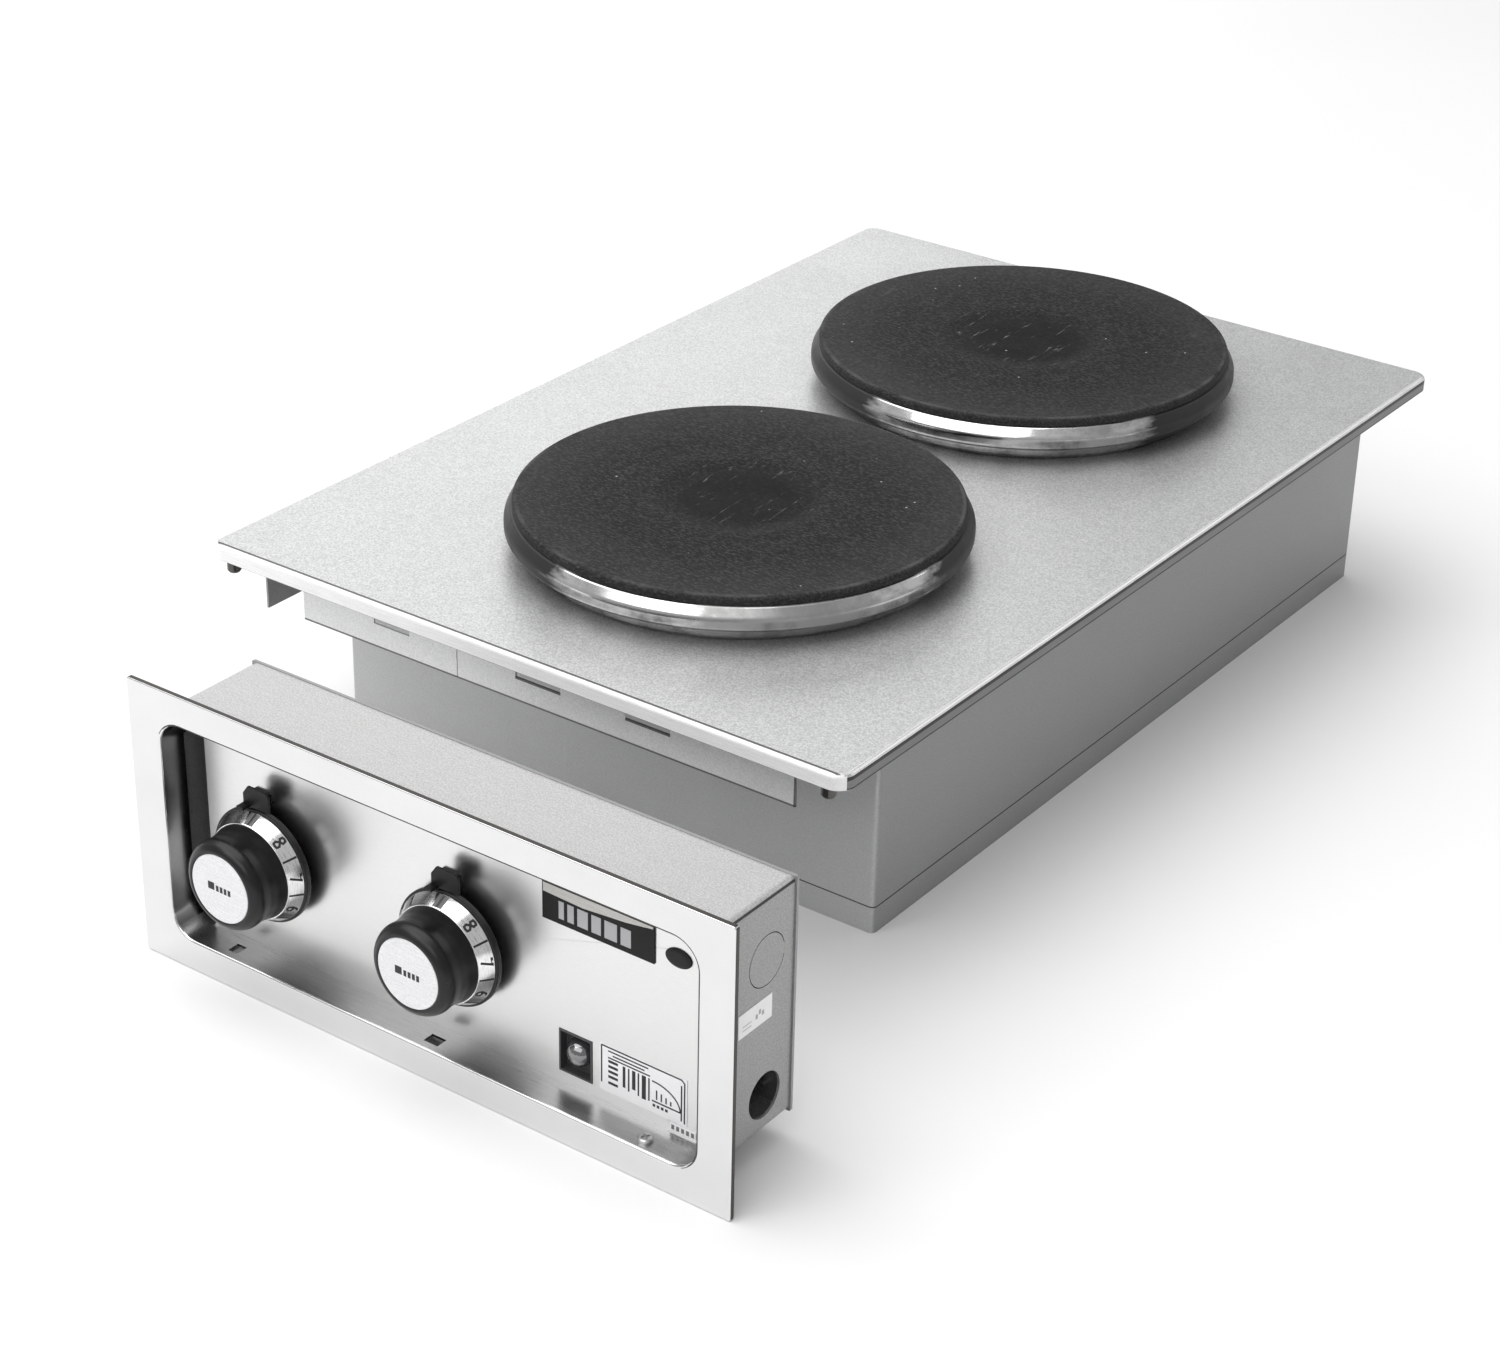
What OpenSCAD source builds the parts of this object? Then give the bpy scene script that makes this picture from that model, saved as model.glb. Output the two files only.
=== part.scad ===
// Drop-in electric hot plate with two round cast-iron plates and a separate control unit.
// Units are millimetres. X runs to the right along the front edge, Y runs to the back, Z is up.
// The origin is under the middle of the deck, on the plane that both housings stand on.

/* [Deck] */
// Width of the stainless deck
deck_w = 384; // [376:1:400]
// Depth of the stainless deck, front to back
deck_d = 584; // [570:1:610]
// Height of the deck's top face above the base plane
deck_h = 126; // [118:1:140]
// Thickness of the deck sheet
deck_sheet = 1.5; // [1.2:0.1:2]
// Height of the turned-down lip
lip_h = 8.4; // [7:0.1:10]

/* [Housing under the deck] */
// Width of the sheet-metal housing
body_w = 330.6; // [326:0.2:334]
// Length of the sheet-metal housing, front to back
body_d = 491; // [480:1:500]
// Distance from the deck's back edge to the housing's back wall
body_back_inset = 23; // [18:1:30]
// Height of the bottom pan's visible side wall
pan_h = 14.5; // [12:0.5:20]
// Sheet thickness of the housings
wall = 1.2; // [1:0.1:1.6]

/* [Hot plates] */
// Diameter of a cast-iron plate
plate_d = 226.6; // [224:0.2:227]
// Height of a plate's top face above the deck
plate_rise = 26.7; // [26.2:0.1:30]
// Distance between the two plate centres
plate_pitch = 265.2; // [250:0.2:280]
// Distance from the deck's middle to the middle of the two plates, towards the back
plate_mid_y = 3.2; // [0:0.2:8]
// Distance from the deck's middle to the plates' centre line, to the right
plate_x = 16; // [0:1:18]
// Diameter of the dished spot in the middle of a plate
dish_d = 80; // [60:1:90]

/* [Control unit] */
// Width of the polished bezel
bezel_w = 338; // [334:1:350]
// Height of the polished bezel
bezel_h = 144; // [140:1:150]
// Thickness of the bezel plate
bezel_t = 2.5; // [2:0.1:3]
// Width of the bezel's left and right borders
border_side = 18.5; // [17:0.5:21]
// Height of the bezel's top and bottom borders
border_top = 16; // [15:0.5:18]
// Corner radius of the bezel's window
window_r = 13; // [6:1:16]
// Depth of the control panel behind the bezel's front face
recess = 18; // [16:0.5:20]
// Depth of the control unit from the bezel's front face to its back cover
unit_d = 65; // [62:1:75]
// Distance from the deck's front edge to the bezel's front face
unit_gap = 147.8; // [100:0.2:200]
// Distance from the deck's middle to the bezel's middle, to the right
unit_x = 73.3; // [0:0.1:80]

/* [Knobs] */
// Diameter of a knob's rear flange
knob_d = 56.8; // [54:0.2:58]
// Distance from the control panel to the front of a knob
knob_reach = 33.7; // [32:0.1:36]
// Distance from the bezel's middle to the left knob, to the left
knob_left = 101.9; // [98:0.1:106]
// Distance from the bezel's middle to the right knob, to the right
knob_right = 8.7; // [4:0.1:12]
// Height of the knob axes above the base plane
knob_z = 65.7; // [62:0.1:70]

/* [Hidden] */
$fn = 96;
eps = 0.01;

// Deck and its openings
deck_corner_r = 5;
deck_under = deck_h - deck_sheet;
deck_hole_r = 88;
front_plate_y = plate_mid_y - plate_pitch / 2;
rear_plate_y = plate_mid_y + plate_pitch / 2;

// Trim ring, as radii and heights above the deck
neck_r = deck_hole_r - 0.3;
neck_drop = 7.5;
ring_t = 1.2;
ring_seat_r = 103.5;
ring_top = 22.1;
ring_step = 9.4;
ring_bulge_r = 117.4;

// Cast-iron plate, as radii and heights above the deck
plate_r = plate_d / 2;
plate_edge_r = 3.6;
plate_body_r = ring_seat_r - 0.3;
plate_bottom = 9;
plate_cup_r = 97;
plate_web = 17.4;
plate_dish = 1.2;
rib_w = 3;
rib_bottom = 11;
rib_radii = [22, 40, 58, 76];
coil_radii = [32.5, 50.5, 68.5, 87.5];
coil_r = 2.6;
coil_z = 14.2;
boss_r = 12;
stud_r = 4;
cover_r = 101;
cover_t = 1.2;
cover_bottom = plate_bottom - cover_t;

// Clamp bar under each plate
bar_len = 232;
bar_w = 26;
bar_t = 3;
bar_drop = 17;
nut_r = 7.5;
nut_h = 6.5;
washer_r = 11;
washer_t = 1.5;
stud_bottom = -(bar_drop + washer_t + nut_h + 6);

// Terminal block and limiter under each plate
block_size = [42, 22, 14];
block_y = 46;
pin_r = 1.8;
pin_pitch = 10;
pin_drop = 9;
limiter_at = [38, -34];
limiter_r = 9;
limiter_h = 11;
wire_r = 1.7;

// Housing under the deck
body_y = deck_d / 2 - body_back_inset - body_d / 2;
body_back = body_y + body_d / 2;
body_corner_r = 3;
back_return = 12;
back_panel_w = body_w - 2 * back_return;
pan_wall = 2.5;
tongue_h = 9;
pan_screw_x = [-120, -40, 40, 120];
shield_z = 52;
shield_t = 1;
shield_leg = 12;
shield_end_gap = 3;
vent_w = 4;
vent_l = 34;
vent_pitch = 14;
vent_count = 8;

// Flanges under the deck's front overhang
flange_inset = 20;
flange_drop = 37.5;
flange_t = 1.2;
flange_leg = 16;
flange_x0 = -148;
flange_joint_x = -47.5;
flange_x1 = 153;
flange_slots = [[-11, 27.6], [55.5, 26.3]];
flange_slot_top = 17;
flange_slot_h = 7.8;
notch_x = -101;
notch_w = 23;
tab_x = -172.5;
tab_len = 67;
tab_drop = 39;

// Studs at the deck's corners
corner_stud_r = 3.6;
corner_stud_inset = 11.4;
corner_stud_drop = 15;

// Supply terminals inside the housing, on the back wall
supply_x = -70;
supply_z = 88;
supply_size = [64, 24, 22];
entry_r = 11.1;
body_entry_x = 60;
body_entry_z = 80;

// Control unit, in its own coordinates: x from the bezel's middle, y back from its face
unit_y = -deck_d / 2 - unit_gap;
window_w = bezel_w - 2 * border_side;
window_h = bezel_h - 2 * border_top;
window_z = bezel_h / 2;
liner_t = 1.2;
slip = 0.1;
shell_in_w = window_w + 2 * liner_t + 2 * slip;
shell_in_h = window_h + 2 * liner_t + 2 * slip;
shell_w = shell_in_w + 2 * wall;
shell_h = shell_in_h + 2 * wall;
liner_r = window_r + liner_t;
shell_in_r = 2;
seat_t = 0.6;
seat_lap = 0.3;
housing_front = bezel_t + seat_t;
panel_t = 1.5;
side_gap = 9.5;
side_liner_d = 15;
back_t = 1.5;
back_lap = 0.8;
back_screw_at = [shell_w / 2 - 12, shell_h / 2 - 10];
back_screw_r = 1.8;

// Holes in the recess floor and the screw beside them
drains = [[-117.8, 5.5, 6.5], [1.7, 8, 6]];
drain_depth = 8;
floor_screw_x = 119.7;
floor_screw_y = 6.5;
floor_screw_r = 1.6;

// Fittings on the control panel, centre x and z with width and height
name_at = [85.8, 105.8];
name_size = [59.4, 18.4];
plate_label_t = 0.8;
rating_at = [109.6, 33.6];
rating_size = [46.4, 23.6];
strip_at = [130.8, 19.0];
strip_size = [13.6, 3.6];
lamp_at = [73.1, 32.7];
lamp_size = [18.2, 21.6];
lamp_lens_r = 6.6;
plug_at = [127.8, 104.2];
plug_size = [13.6, 9];
plug_neck = [11, 6.6];
plug_head_t = 1.2;

// Fittings on the control unit's right-hand wall, depth and z
blank_at = [44.5, 99.7];
blank_r = 12.5;
blank_slit = 0.5;
blank_tie = 5;
side_label_at = [36.7, 76];
side_label_size = [23.5, 11.6];
unit_entry_at = [45, 31.8];

// Rotary switch behind the panel
switch_size = [44, 33, 46];
bushing_r = 4.75;
bushing_front = 5;
shaft_r = 3;
shaft_clear = 0.05;
shaft_front = 30;
shaft_tail = 12;
hex_r = 8;
hex_t = 3;

// Knob, as distances in front of the panel and radii
flange_off = 4.6;
flange_front = 8.1;
knob_r = knob_d / 2;
skirt_front = 14.8;
skirt_r0 = 27.4;
skirt_r1 = 23.6;
skirt_t = 0.8;
grip_waist_r = 21;
grip_rim_r = 22;
cap_r = 17;
cap_t = 1;

function arc(cx, cy, r, a0, a1, n) =
    [for (i = [0 : n]) [cx + r * cos(a0 + (a1 - a0) * i / n), cy + r * sin(a0 + (a1 - a0) * i / n)]];

// Rectangle with round corners, centred
module round_rect(w, h, r) {
    square([w - 2 * r, h], center = true);
    square([w, h - 2 * r], center = true);
    for (sx = [-1, 1], sy = [-1, 1])
        translate([sx * (w / 2 - r), sy * (h / 2 - r)])
            circle(r = r);
}

// Upright frame in the control unit: a round-cornered outline in X and Z, extruded to the back
module upright(w, h, r, t) {
    rotate([90, 0, 0])
        mirror([0, 0, 1])
            linear_extrude(t)
                round_rect(w, h, r);
}

// Cylinder along Y that starts at the origin and runs to the back
module rod_y(r, l) {
    rotate([-90, 0, 0])
        cylinder(r = r, h = l);
}

// Round piece about Y, from a profile of [radius, distance in front of the panel]
module turned(profile) {
    rotate([90, 0, 0])
        rotate_extrude()
            polygon(profile);
}

function unit(v) = v / norm(v);

// Quadratic bend of size r at the middle point, in n steps
function bend(a, b, c, r, n) =
    let (p = b + r * unit(a - b), q = b + r * unit(c - b))
    [for (i = [0 : n]) let (t = i / n) (1 - t) * (1 - t) * p + 2 * t * (1 - t) * b + t * t * q];

// Points with every inner corner bent
function bent(points, r) = [
    points[0],
    for (i = [1 : len(points) - 2]) each bend(points[i - 1], points[i], points[i + 1], r, 4),
    points[len(points) - 1]
];

// Tube of radius r along the points, with flat ends
module wire_run(points, r) {
    sides = 8;
    last = len(points) - 1;
    across = [1, -1, 0];
    rings = [
        for (i = [0 : last])
            let (
                t = unit(points[min(i + 1, last)] - points[max(i - 1, 0)]),
                u = unit(cross(t, across)),
                v = cross(t, u)
            )
            for (k = [0 : sides - 1]) points[i] + r * (cos(360 * k / sides) * u + sin(360 * k / sides) * v)
    ];
    walls = [
        for (i = [0 : last - 1], k = [0 : sides - 1])
            let (n = (k + 1) % sides)
            each [
                [i * sides + k, (i + 1) * sides + k, i * sides + n],
                [i * sides + n, (i + 1) * sides + k, (i + 1) * sides + n]
            ]
    ];
    start_cap = [for (k = [0 : sides - 1]) k];
    end_cap = [for (k = [sides - 1 : -1 : 0]) last * sides + k];
    polyhedron(rings, concat([start_cap], walls, [end_cap]));
}

module at_plate(y) {
    translate([plate_x, y, deck_h])
        children();
}

module at_unit() {
    translate([unit_x, unit_y, 0])
        children();
}

module at_panel(x, z) {
    at_unit()
        translate([x, recess, z])
            children();
}

// ---- Deck ----

module deck() {
    color("gainsboro")
        difference() {
            translate([0, 0, deck_h - lip_h])
                linear_extrude(lip_h)
                    round_rect(deck_w, deck_d, deck_corner_r);
            translate([0, 0, deck_h - lip_h - eps])
                linear_extrude(lip_h - deck_sheet + eps)
                    round_rect(deck_w - 2 * deck_sheet, deck_d - 2 * deck_sheet, deck_corner_r - deck_sheet);
            for (y = [front_plate_y, rear_plate_y])
                translate([plate_x, y, deck_h - 2 * lip_h])
                    cylinder(r = deck_hole_r, h = 3 * lip_h);
        }
}

module corner_studs() {
    stud_l = corner_stud_drop - deck_sheet;
    stud_tip_r = corner_stud_r - 0.8;
    color("dimgray")
        for (sx = [-1, 1], sy = [-1, 1])
            translate([
                sx * (deck_w / 2 - corner_stud_inset),
                sy * (deck_d / 2 - corner_stud_inset / 2),
                deck_h - corner_stud_drop
            ])
                rotate_extrude($fn = 32)
                    polygon([[0, 0], [stud_tip_r, 0], [corner_stud_r, 1.2], [corner_stud_r, stud_l], [0, stud_l]]);
}

// ---- Hot plates ----

module trim_ring(y) {
    outer = [
        [neck_r, -neck_drop], [neck_r, 0], [104.5, 0], [107.4, 2], [109.8, 4.8], [111.2, ring_step - 1.2],
        [111.8, ring_step - 0.2], [115.4, ring_step], [116.7, ring_step + 1.4], [ring_bulge_r, ring_step + 3.4],
        [ring_bulge_r, ring_step + 5.8], [116.7, ring_step + 8.4], [115.5, ring_step + 10.6],
        [114.2, ring_step + 12], [113, ring_top], [ring_seat_r, ring_top]
    ];
    inner = [
        [ring_seat_r, ring_top - ring_t], [112.7, ring_top - ring_t], [113.6, ring_step + 10.9],
        [114.6, ring_step + 9.8], [115.6, ring_step + 8], [ring_bulge_r - ring_t, ring_step + 5.6],
        [ring_bulge_r - ring_t, ring_step + 3.6], [115.7, ring_step + 2.2], [114.8, ring_step + ring_t],
        [111, ring_step + 0.9], [110.1, ring_step - 0.8], [108.8, 5.5], [106.6, 3], [104, ring_t],
        [neck_r - ring_t, ring_t], [neck_r - ring_t, -neck_drop]
    ];
    color("lightgray")
        at_plate(y)
            rotate_extrude($fn = 180)
                polygon(concat(outer, inner));
}

module plate_casting(y) {
    rim = arc(plate_r - plate_edge_r, plate_rise - plate_edge_r, plate_edge_r, 90, 0, 6);
    color([0.2, 0.2, 0.21])
        at_plate(y)
            difference() {
                rotate_extrude($fn = 180)
                    polygon(concat(
                        [[0, plate_bottom], [0, plate_rise - plate_dish], [dish_d / 2 - 4, plate_rise - plate_dish],
                         [dish_d / 2 + 1, plate_rise - 0.15], [dish_d / 2 + 6, plate_rise]],
                        rim,
                        [[plate_r, ring_top], [plate_body_r, ring_top], [plate_body_r, plate_bottom]]));
                difference() {
                    translate([0, 0, plate_bottom - 1])
                        cylinder(r = plate_cup_r, h = plate_web - plate_bottom + 1, $fn = 180);
                    cylinder(r = boss_r, h = plate_rise);
                    for (r = rib_radii)
                        difference() {
                            translate([0, 0, rib_bottom])
                                cylinder(r = r + rib_w, h = plate_rise);
                            cylinder(r = r, h = 2 * plate_rise);
                        }
                }
                translate([0, 0, plate_bottom - 1])
                    cylinder(r = stud_r, h = 11, $fn = 32);
            }
}

module coils(y) {
    color("darkkhaki")
        at_plate(y)
            for (r = coil_radii)
                translate([0, 0, coil_z])
                    rotate([0, 0, 8])
                        rotate_extrude(angle = 344)
                            translate([r, 0])
                                circle(r = coil_r, $fn = 24);
}

module cement(y) {
    color("beige")
        at_plate(y)
            difference() {
                translate([0, 0, plate_bottom])
                    cylinder(r = plate_cup_r - 0.3, h = rib_bottom - plate_bottom);
                cylinder(r = boss_r + 0.3, h = plate_rise);
            }
}

module plate_cover(y) {
    color("silver")
        at_plate(y)
            difference() {
                translate([0, 0, cover_bottom])
                    cylinder(r = cover_r, h = cover_t);
                translate([0, 0, cover_bottom - 1])
                    cylinder(r = stud_r + 0.3, h = cover_t + 2, $fn = 32);
            }
}

module clamp_stud(y) {
    color("darkgray")
        at_plate(y)
            translate([0, 0, stud_bottom])
                cylinder(r = stud_r, h = plate_bottom + 9 - stud_bottom, $fn = 32);
}

module bridge_bar(y) {
    color("slategray")
        at_plate(y)
            difference() {
                union() {
                    translate([-bar_len / 2, -bar_w / 2, -bar_drop])
                        cube([bar_len, bar_w, bar_t]);
                    for (sx = [-1, 1])
                        translate([sx * (bar_len / 2 - bar_t / 2) - bar_t / 2, -bar_w / 2, -bar_drop])
                            cube([bar_t, bar_w, bar_drop - deck_sheet]);
                }
                translate([0, 0, -bar_drop - 1])
                    cylinder(r = stud_r + 0.3, h = bar_t + 2, $fn = 32);
            }
}

module stud_nuts() {
    color("goldenrod")
        for (y = [front_plate_y, rear_plate_y])
            at_plate(y)
                difference() {
                    union() {
                        translate([0, 0, -bar_drop - washer_t])
                            cylinder(r = washer_r, h = washer_t, $fn = 48);
                        translate([0, 0, -bar_drop - washer_t - nut_h])
                            cylinder(r = nut_r, h = nut_h, $fn = 6);
                    }
                    translate([0, 0, -bar_drop - 2 * nut_h])
                        cylinder(r = stud_r, h = 3 * nut_h, $fn = 32);
                }
}

module terminal_block(y) {
    color("ivory")
        at_plate(y)
            difference() {
                translate([-block_size[0] / 2, block_y - block_size[1] / 2, cover_bottom - block_size[2]])
                    cube(block_size);
                for (i = [-1.5 : 1 : 1.5])
                    translate([i * pin_pitch, block_y, cover_bottom - block_size[2] - 1])
                        cylinder(r = pin_r, h = pin_drop + 1, $fn = 24);
            }
}

module thermal_limiters() {
    color("firebrick")
        for (y = [front_plate_y, rear_plate_y])
            at_plate(y)
                translate([limiter_at[0], limiter_at[1], cover_bottom - limiter_h]) {
                    cylinder(r = limiter_r, h = limiter_h, $fn = 48);
                    translate([-limiter_r - 4, -3, limiter_h - 1.5])
                        cube([2 * limiter_r + 8, 6, 1.5]);
                }
}

// Two leads from each plate's terminals to the supply block on the back wall
module plate_wires() {
    start_z = deck_h + cover_bottom - block_size[2];
    run_z = supply_z + supply_size[2] / 2 - 4;
    end_y = body_back - wall - supply_size[1];
    color("firebrick")
        for (k = [0 : 3]) {
            y = (k < 2 ? front_plate_y : rear_plate_y) + block_y;
            x = plate_x + (k % 2 == 0 ? -1.5 : 1.5) * pin_pitch;
            lane = supply_x + (k - 1.5) * 12;
            level = run_z - 8 + 5 * k;
            wire_run(bent([
                [x, y, start_z], [x, y, level], [lane, y + 24, level], [lane, end_y - 16, run_z], [lane, end_y, run_z]
            ], 6), wire_r);
        }
}

// ---- Housing under the deck ----

module body_shell() {
    color("darkgray")
        translate([0, body_y, 0])
            difference() {
                translate([0, 0, pan_h])
                    linear_extrude(deck_under - pan_h)
                        difference() {
                            round_rect(body_w, body_d, body_corner_r);
                            round_rect(body_w - 2 * wall, body_d - 2 * wall, body_corner_r - wall);
                        }
                translate([-back_panel_w / 2, body_d / 2 - 2 * wall, 0])
                    cube([back_panel_w, 4 * wall, deck_h]);
            }
}

// Flush panel between the returns of the side walls, with the conduit entry
module body_back_panel() {
    color("darkgray")
        difference() {
            translate([-back_panel_w / 2, body_back - wall, pan_h])
                cube([back_panel_w, wall, deck_under - pan_h]);
            translate([body_entry_x, body_back - 2 * wall, body_entry_z])
                rod_y(entry_r, 4 * wall);
        }
}

module bottom_pan() {
    tongue_out = 2 * wall + 2 * slip;
    color("gray")
        translate([0, body_y, 0])
            difference() {
                union() {
                    linear_extrude(pan_h - 0.3)
                        round_rect(body_w, body_d, body_corner_r);
                    linear_extrude(pan_h + tongue_h)
                        round_rect(body_w - tongue_out, body_d - tongue_out, body_corner_r - wall);
                }
                translate([0, 0, wall])
                    linear_extrude(pan_h + tongue_h)
                        round_rect(body_w - 2 * pan_wall, body_d - 2 * pan_wall, 1);
                for (sy = [-1, 1], i = [0 : vent_count - 1])
                    translate([(i - (vent_count - 1) / 2) * vent_pitch, sy * body_d / 4, -1])
                        linear_extrude(2 * wall + 2)
                            round_rect(vent_w, vent_l, vent_w / 2 - eps);
            }
}

// Tray-like sheet across the housing: its two folded legs meet the side walls
module heat_shield() {
    w = body_w - 2 * wall;
    d = body_d - 2 * wall - 2 * shield_end_gap;
    color("lightsteelblue")
        translate([0, body_y, shield_z]) {
            linear_extrude(shield_t)
                square([w, d], center = true);
            for (sx = [-1, 1])
                translate([sx * (w - shield_t) / 2, 0, -shield_leg])
                    linear_extrude(shield_leg + eps)
                        square([shield_t, d], center = true);
        }
}

module pan_screws() {
    color("silver")
        for (x = pan_screw_x)
            translate([x, body_back, pan_h + tongue_h / 2])
                rotate([-90, 0, 0])
                    rotate_extrude($fn = 32)
                        polygon([[0, 0], [3.6, 0], [3.4, 1], [2.4, 1.8], [0, 2]]);
}

module flange_strip(x0, x1) {
    y0 = -deck_d / 2 + flange_inset;
    translate([x0, y0, deck_h - flange_drop])
        cube([x1 - x0, flange_t, flange_drop - deck_sheet]);
    translate([x0, y0, deck_under - flange_t])
        cube([x1 - x0, flange_leg, flange_t]);
}

module front_flange_left() {
    color("darkgray")
        difference() {
            flange_strip(flange_x0, flange_joint_x - 0.2);
            translate([notch_x, -deck_d / 2, deck_h - flange_slot_top - flange_slot_h])
                cube([notch_w, 2 * flange_inset, flange_slot_h - 2]);
        }
}

module front_flange_right() {
    color("darkgray")
        difference() {
            flange_strip(flange_joint_x + 0.2, flange_x1);
            for (s = flange_slots)
                translate([s[0], -deck_d / 2, deck_h - flange_slot_top - flange_slot_h])
                    cube([s[1], 2 * flange_inset, flange_slot_h]);
        }
}

module side_tab() {
    color("gray")
        translate([tab_x, -deck_d / 2 + flange_inset, 0]) {
            translate([-flange_t, 0, deck_h - tab_drop])
                cube([flange_t, tab_len, tab_drop - deck_sheet]);
            translate([-flange_t, 0, deck_under - flange_t])
                cube([6, tab_len, flange_t]);
        }
}

module supply_block() {
    color("ivory")
        translate([supply_x - supply_size[0] / 2, body_back - wall - supply_size[1], supply_z - supply_size[2] / 2])
            difference() {
                cube(supply_size);
                for (i = [0 : 3])
                    translate([supply_size[0] / 2 + (i - 1.5) * 12, 8, supply_size[2] - 3])
                        cylinder(r = 3.5, h = 5, $fn = 32);
            }
}

module ground_lug() {
    color("goldenrod")
        translate([5, body_back - wall, supply_z])
            rotate([90, 0, 0])
                difference() {
                    union() {
                        cylinder(r = 6, h = 2, $fn = 48);
                        translate([-4, -14, 0])
                            cube([8, 14, 2]);
                        cylinder(r = 3.5, h = 6, $fn = 6);
                    }
                    translate([0, -11, -1])
                        cylinder(r = 2, h = 4, $fn = 32);
                }
}

// ---- Control unit ----

module bezel() {
    color("whitesmoke")
        at_unit()
            translate([0, 0, window_z])
                difference() {
                    union() {
                        upright(bezel_w, bezel_h, 1.5, bezel_t);
                        upright(shell_w + 2 * seat_lap, shell_h + 2 * seat_lap, 1.5, housing_front);
                        upright(window_w + 2 * liner_t, window_h + 2 * liner_t, liner_r, recess);
                    }
                    translate([0, -1, 0])
                        upright(window_w, window_h, window_r, recess + 2);
                    translate([-window_w, side_liner_d, -window_h / 2 + window_r])
                        cube([window_w / 2 + window_r, recess, window_h - 2 * window_r]);
                    for (d = drains)
                        translate([d[0], drain_depth, -window_h / 2])
                            cube([d[1], d[2], 4 * liner_t], center = true);
                    translate([floor_screw_x, floor_screw_y, -window_h / 2 - 3])
                        cylinder(r = floor_screw_r, h = 6, $fn = 24);
                }
}

module control_housing() {
    color("silver")
        at_unit()
            difference() {
                translate([0, housing_front, window_z])
                    upright(shell_w, shell_h, shell_in_r + wall, unit_d - housing_front - back_t);
                translate([0, housing_front - 1, window_z])
                    upright(shell_in_w, shell_in_h, shell_in_r, unit_d);
                for (d = drains)
                    translate([d[0], drain_depth, border_top - liner_t])
                        cube([d[1], d[2], 6 * wall], center = true);
                translate([floor_screw_x, floor_screw_y, border_top - 5])
                    cylinder(r = floor_screw_r, h = 6, $fn = 24);
                translate([shell_w / 2 - 2 * wall, unit_entry_at[0], unit_entry_at[1]])
                    rotate([0, 90, 0])
                        cylinder(r = entry_r, h = 4 * wall);
                translate([shell_w / 2 - 2 * wall, blank_at[0], blank_at[1]])
                    rotate([0, 90, 0])
                        cylinder(r = blank_r, h = 4 * wall);
            }
}

// Unused knockout: a disc inside a stamped slit, held at the back by one uncut tie
module knockout_blank() {
    color("gray")
        at_unit()
            translate([shell_w / 2 - wall, blank_at[0], blank_at[1]])
                rotate([0, 90, 0])
                    intersection() {
                        cylinder(r = blank_r, h = wall);
                        union() {
                            cylinder(r = blank_r - blank_slit, h = wall);
                            translate([-blank_tie / 2, 0, 0])
                                cube([blank_tie, 2 * blank_r, wall]);
                        }
                    }
}

module control_back() {
    color("gray")
        at_unit()
            difference() {
                translate([0, unit_d - back_t, window_z])
                    upright(shell_w + 2 * back_lap, shell_h + back_lap, 1, back_t);
                for (sx = [-1, 1], sz = [-1, 1])
                    translate([sx * back_screw_at[0], unit_d - 3, window_z + sz * back_screw_at[1]])
                        rod_y(back_screw_r, 6);
            }
}

module back_screws() {
    color("silver")
        at_unit()
            for (sx = [-1, 1], sz = [-1, 1])
                translate([sx * back_screw_at[0], unit_d, window_z + sz * back_screw_at[1]]) {
                    rod_y(3.4, 1.8);
                    translate([0, -6, 0])
                        rod_y(back_screw_r, 6);
                }
}

module floor_screw() {
    color("silver")
        at_unit()
            translate([floor_screw_x, floor_screw_y, border_top]) {
                cylinder(r1 = 3.6, r2 = 2.6, h = 2, $fn = 32);
                translate([0, 0, -liner_t - wall - slip - 2])
                    cylinder(r = floor_screw_r, h = liner_t + wall + slip + 2, $fn = 24);
            }
}

module control_panel() {
    panel_w = shell_in_w / 2 + window_w / 2 - side_gap;
    color("gainsboro")
        at_unit()
            difference() {
                translate([shell_in_w / 2 - panel_w, recess, window_z - shell_in_h / 2])
                    cube([panel_w, panel_t, shell_in_h]);
                for (x = [-knob_left, knob_right])
                    translate([x, recess - 1, knob_z])
                        rod_y(bushing_r + 0.1, panel_t + 2);
                translate([plug_at[0], recess - 1, plug_at[1]])
                    upright(plug_neck[0] + 0.2, plug_neck[1] + 0.2, plug_neck[1] / 2, panel_t + 2);
                translate([lamp_at[0] - lamp_size[0] / 2, recess - 1, lamp_at[1] - lamp_size[1] / 2])
                    cube([lamp_size[0], panel_t + 2, lamp_size[1]]);
            }
}

module rotary_switch(x) {
    color("saddlebrown")
        at_panel(x, knob_z)
            difference() {
                union() {
                    translate([-switch_size[0] / 2, panel_t, -switch_size[2] / 2])
                        cube([switch_size[0], switch_size[1], switch_size[2]]);
                    for (sz = [-1, 1])
                        translate([-15, panel_t + switch_size[1], sz * 14 - 3])
                            cube([30, 7, 6]);
                    translate([0, -bushing_front, 0])
                        rod_y(bushing_r, bushing_front + panel_t + eps);
                }
                translate([0, -bushing_front - 1, 0])
                    rod_y(shaft_r + shaft_clear, bushing_front + 1 + shaft_tail + 1);
            }
}

module switch_nuts() {
    color("goldenrod")
        for (x = [-knob_left, knob_right])
            at_panel(x, knob_z)
                translate([0, -hex_t, 0])
                    difference() {
                        rotate([-90, 0, 0])
                            cylinder(r = hex_r, h = hex_t, $fn = 6);
                        translate([0, -1, 0])
                            rod_y(bushing_r, hex_t + 2);
                    }
}

module switch_shaft(x) {
    color("silver")
        at_panel(x, knob_z)
            translate([0, -shaft_front, 0])
                rod_y(shaft_r, shaft_front + shaft_tail);
}

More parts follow.
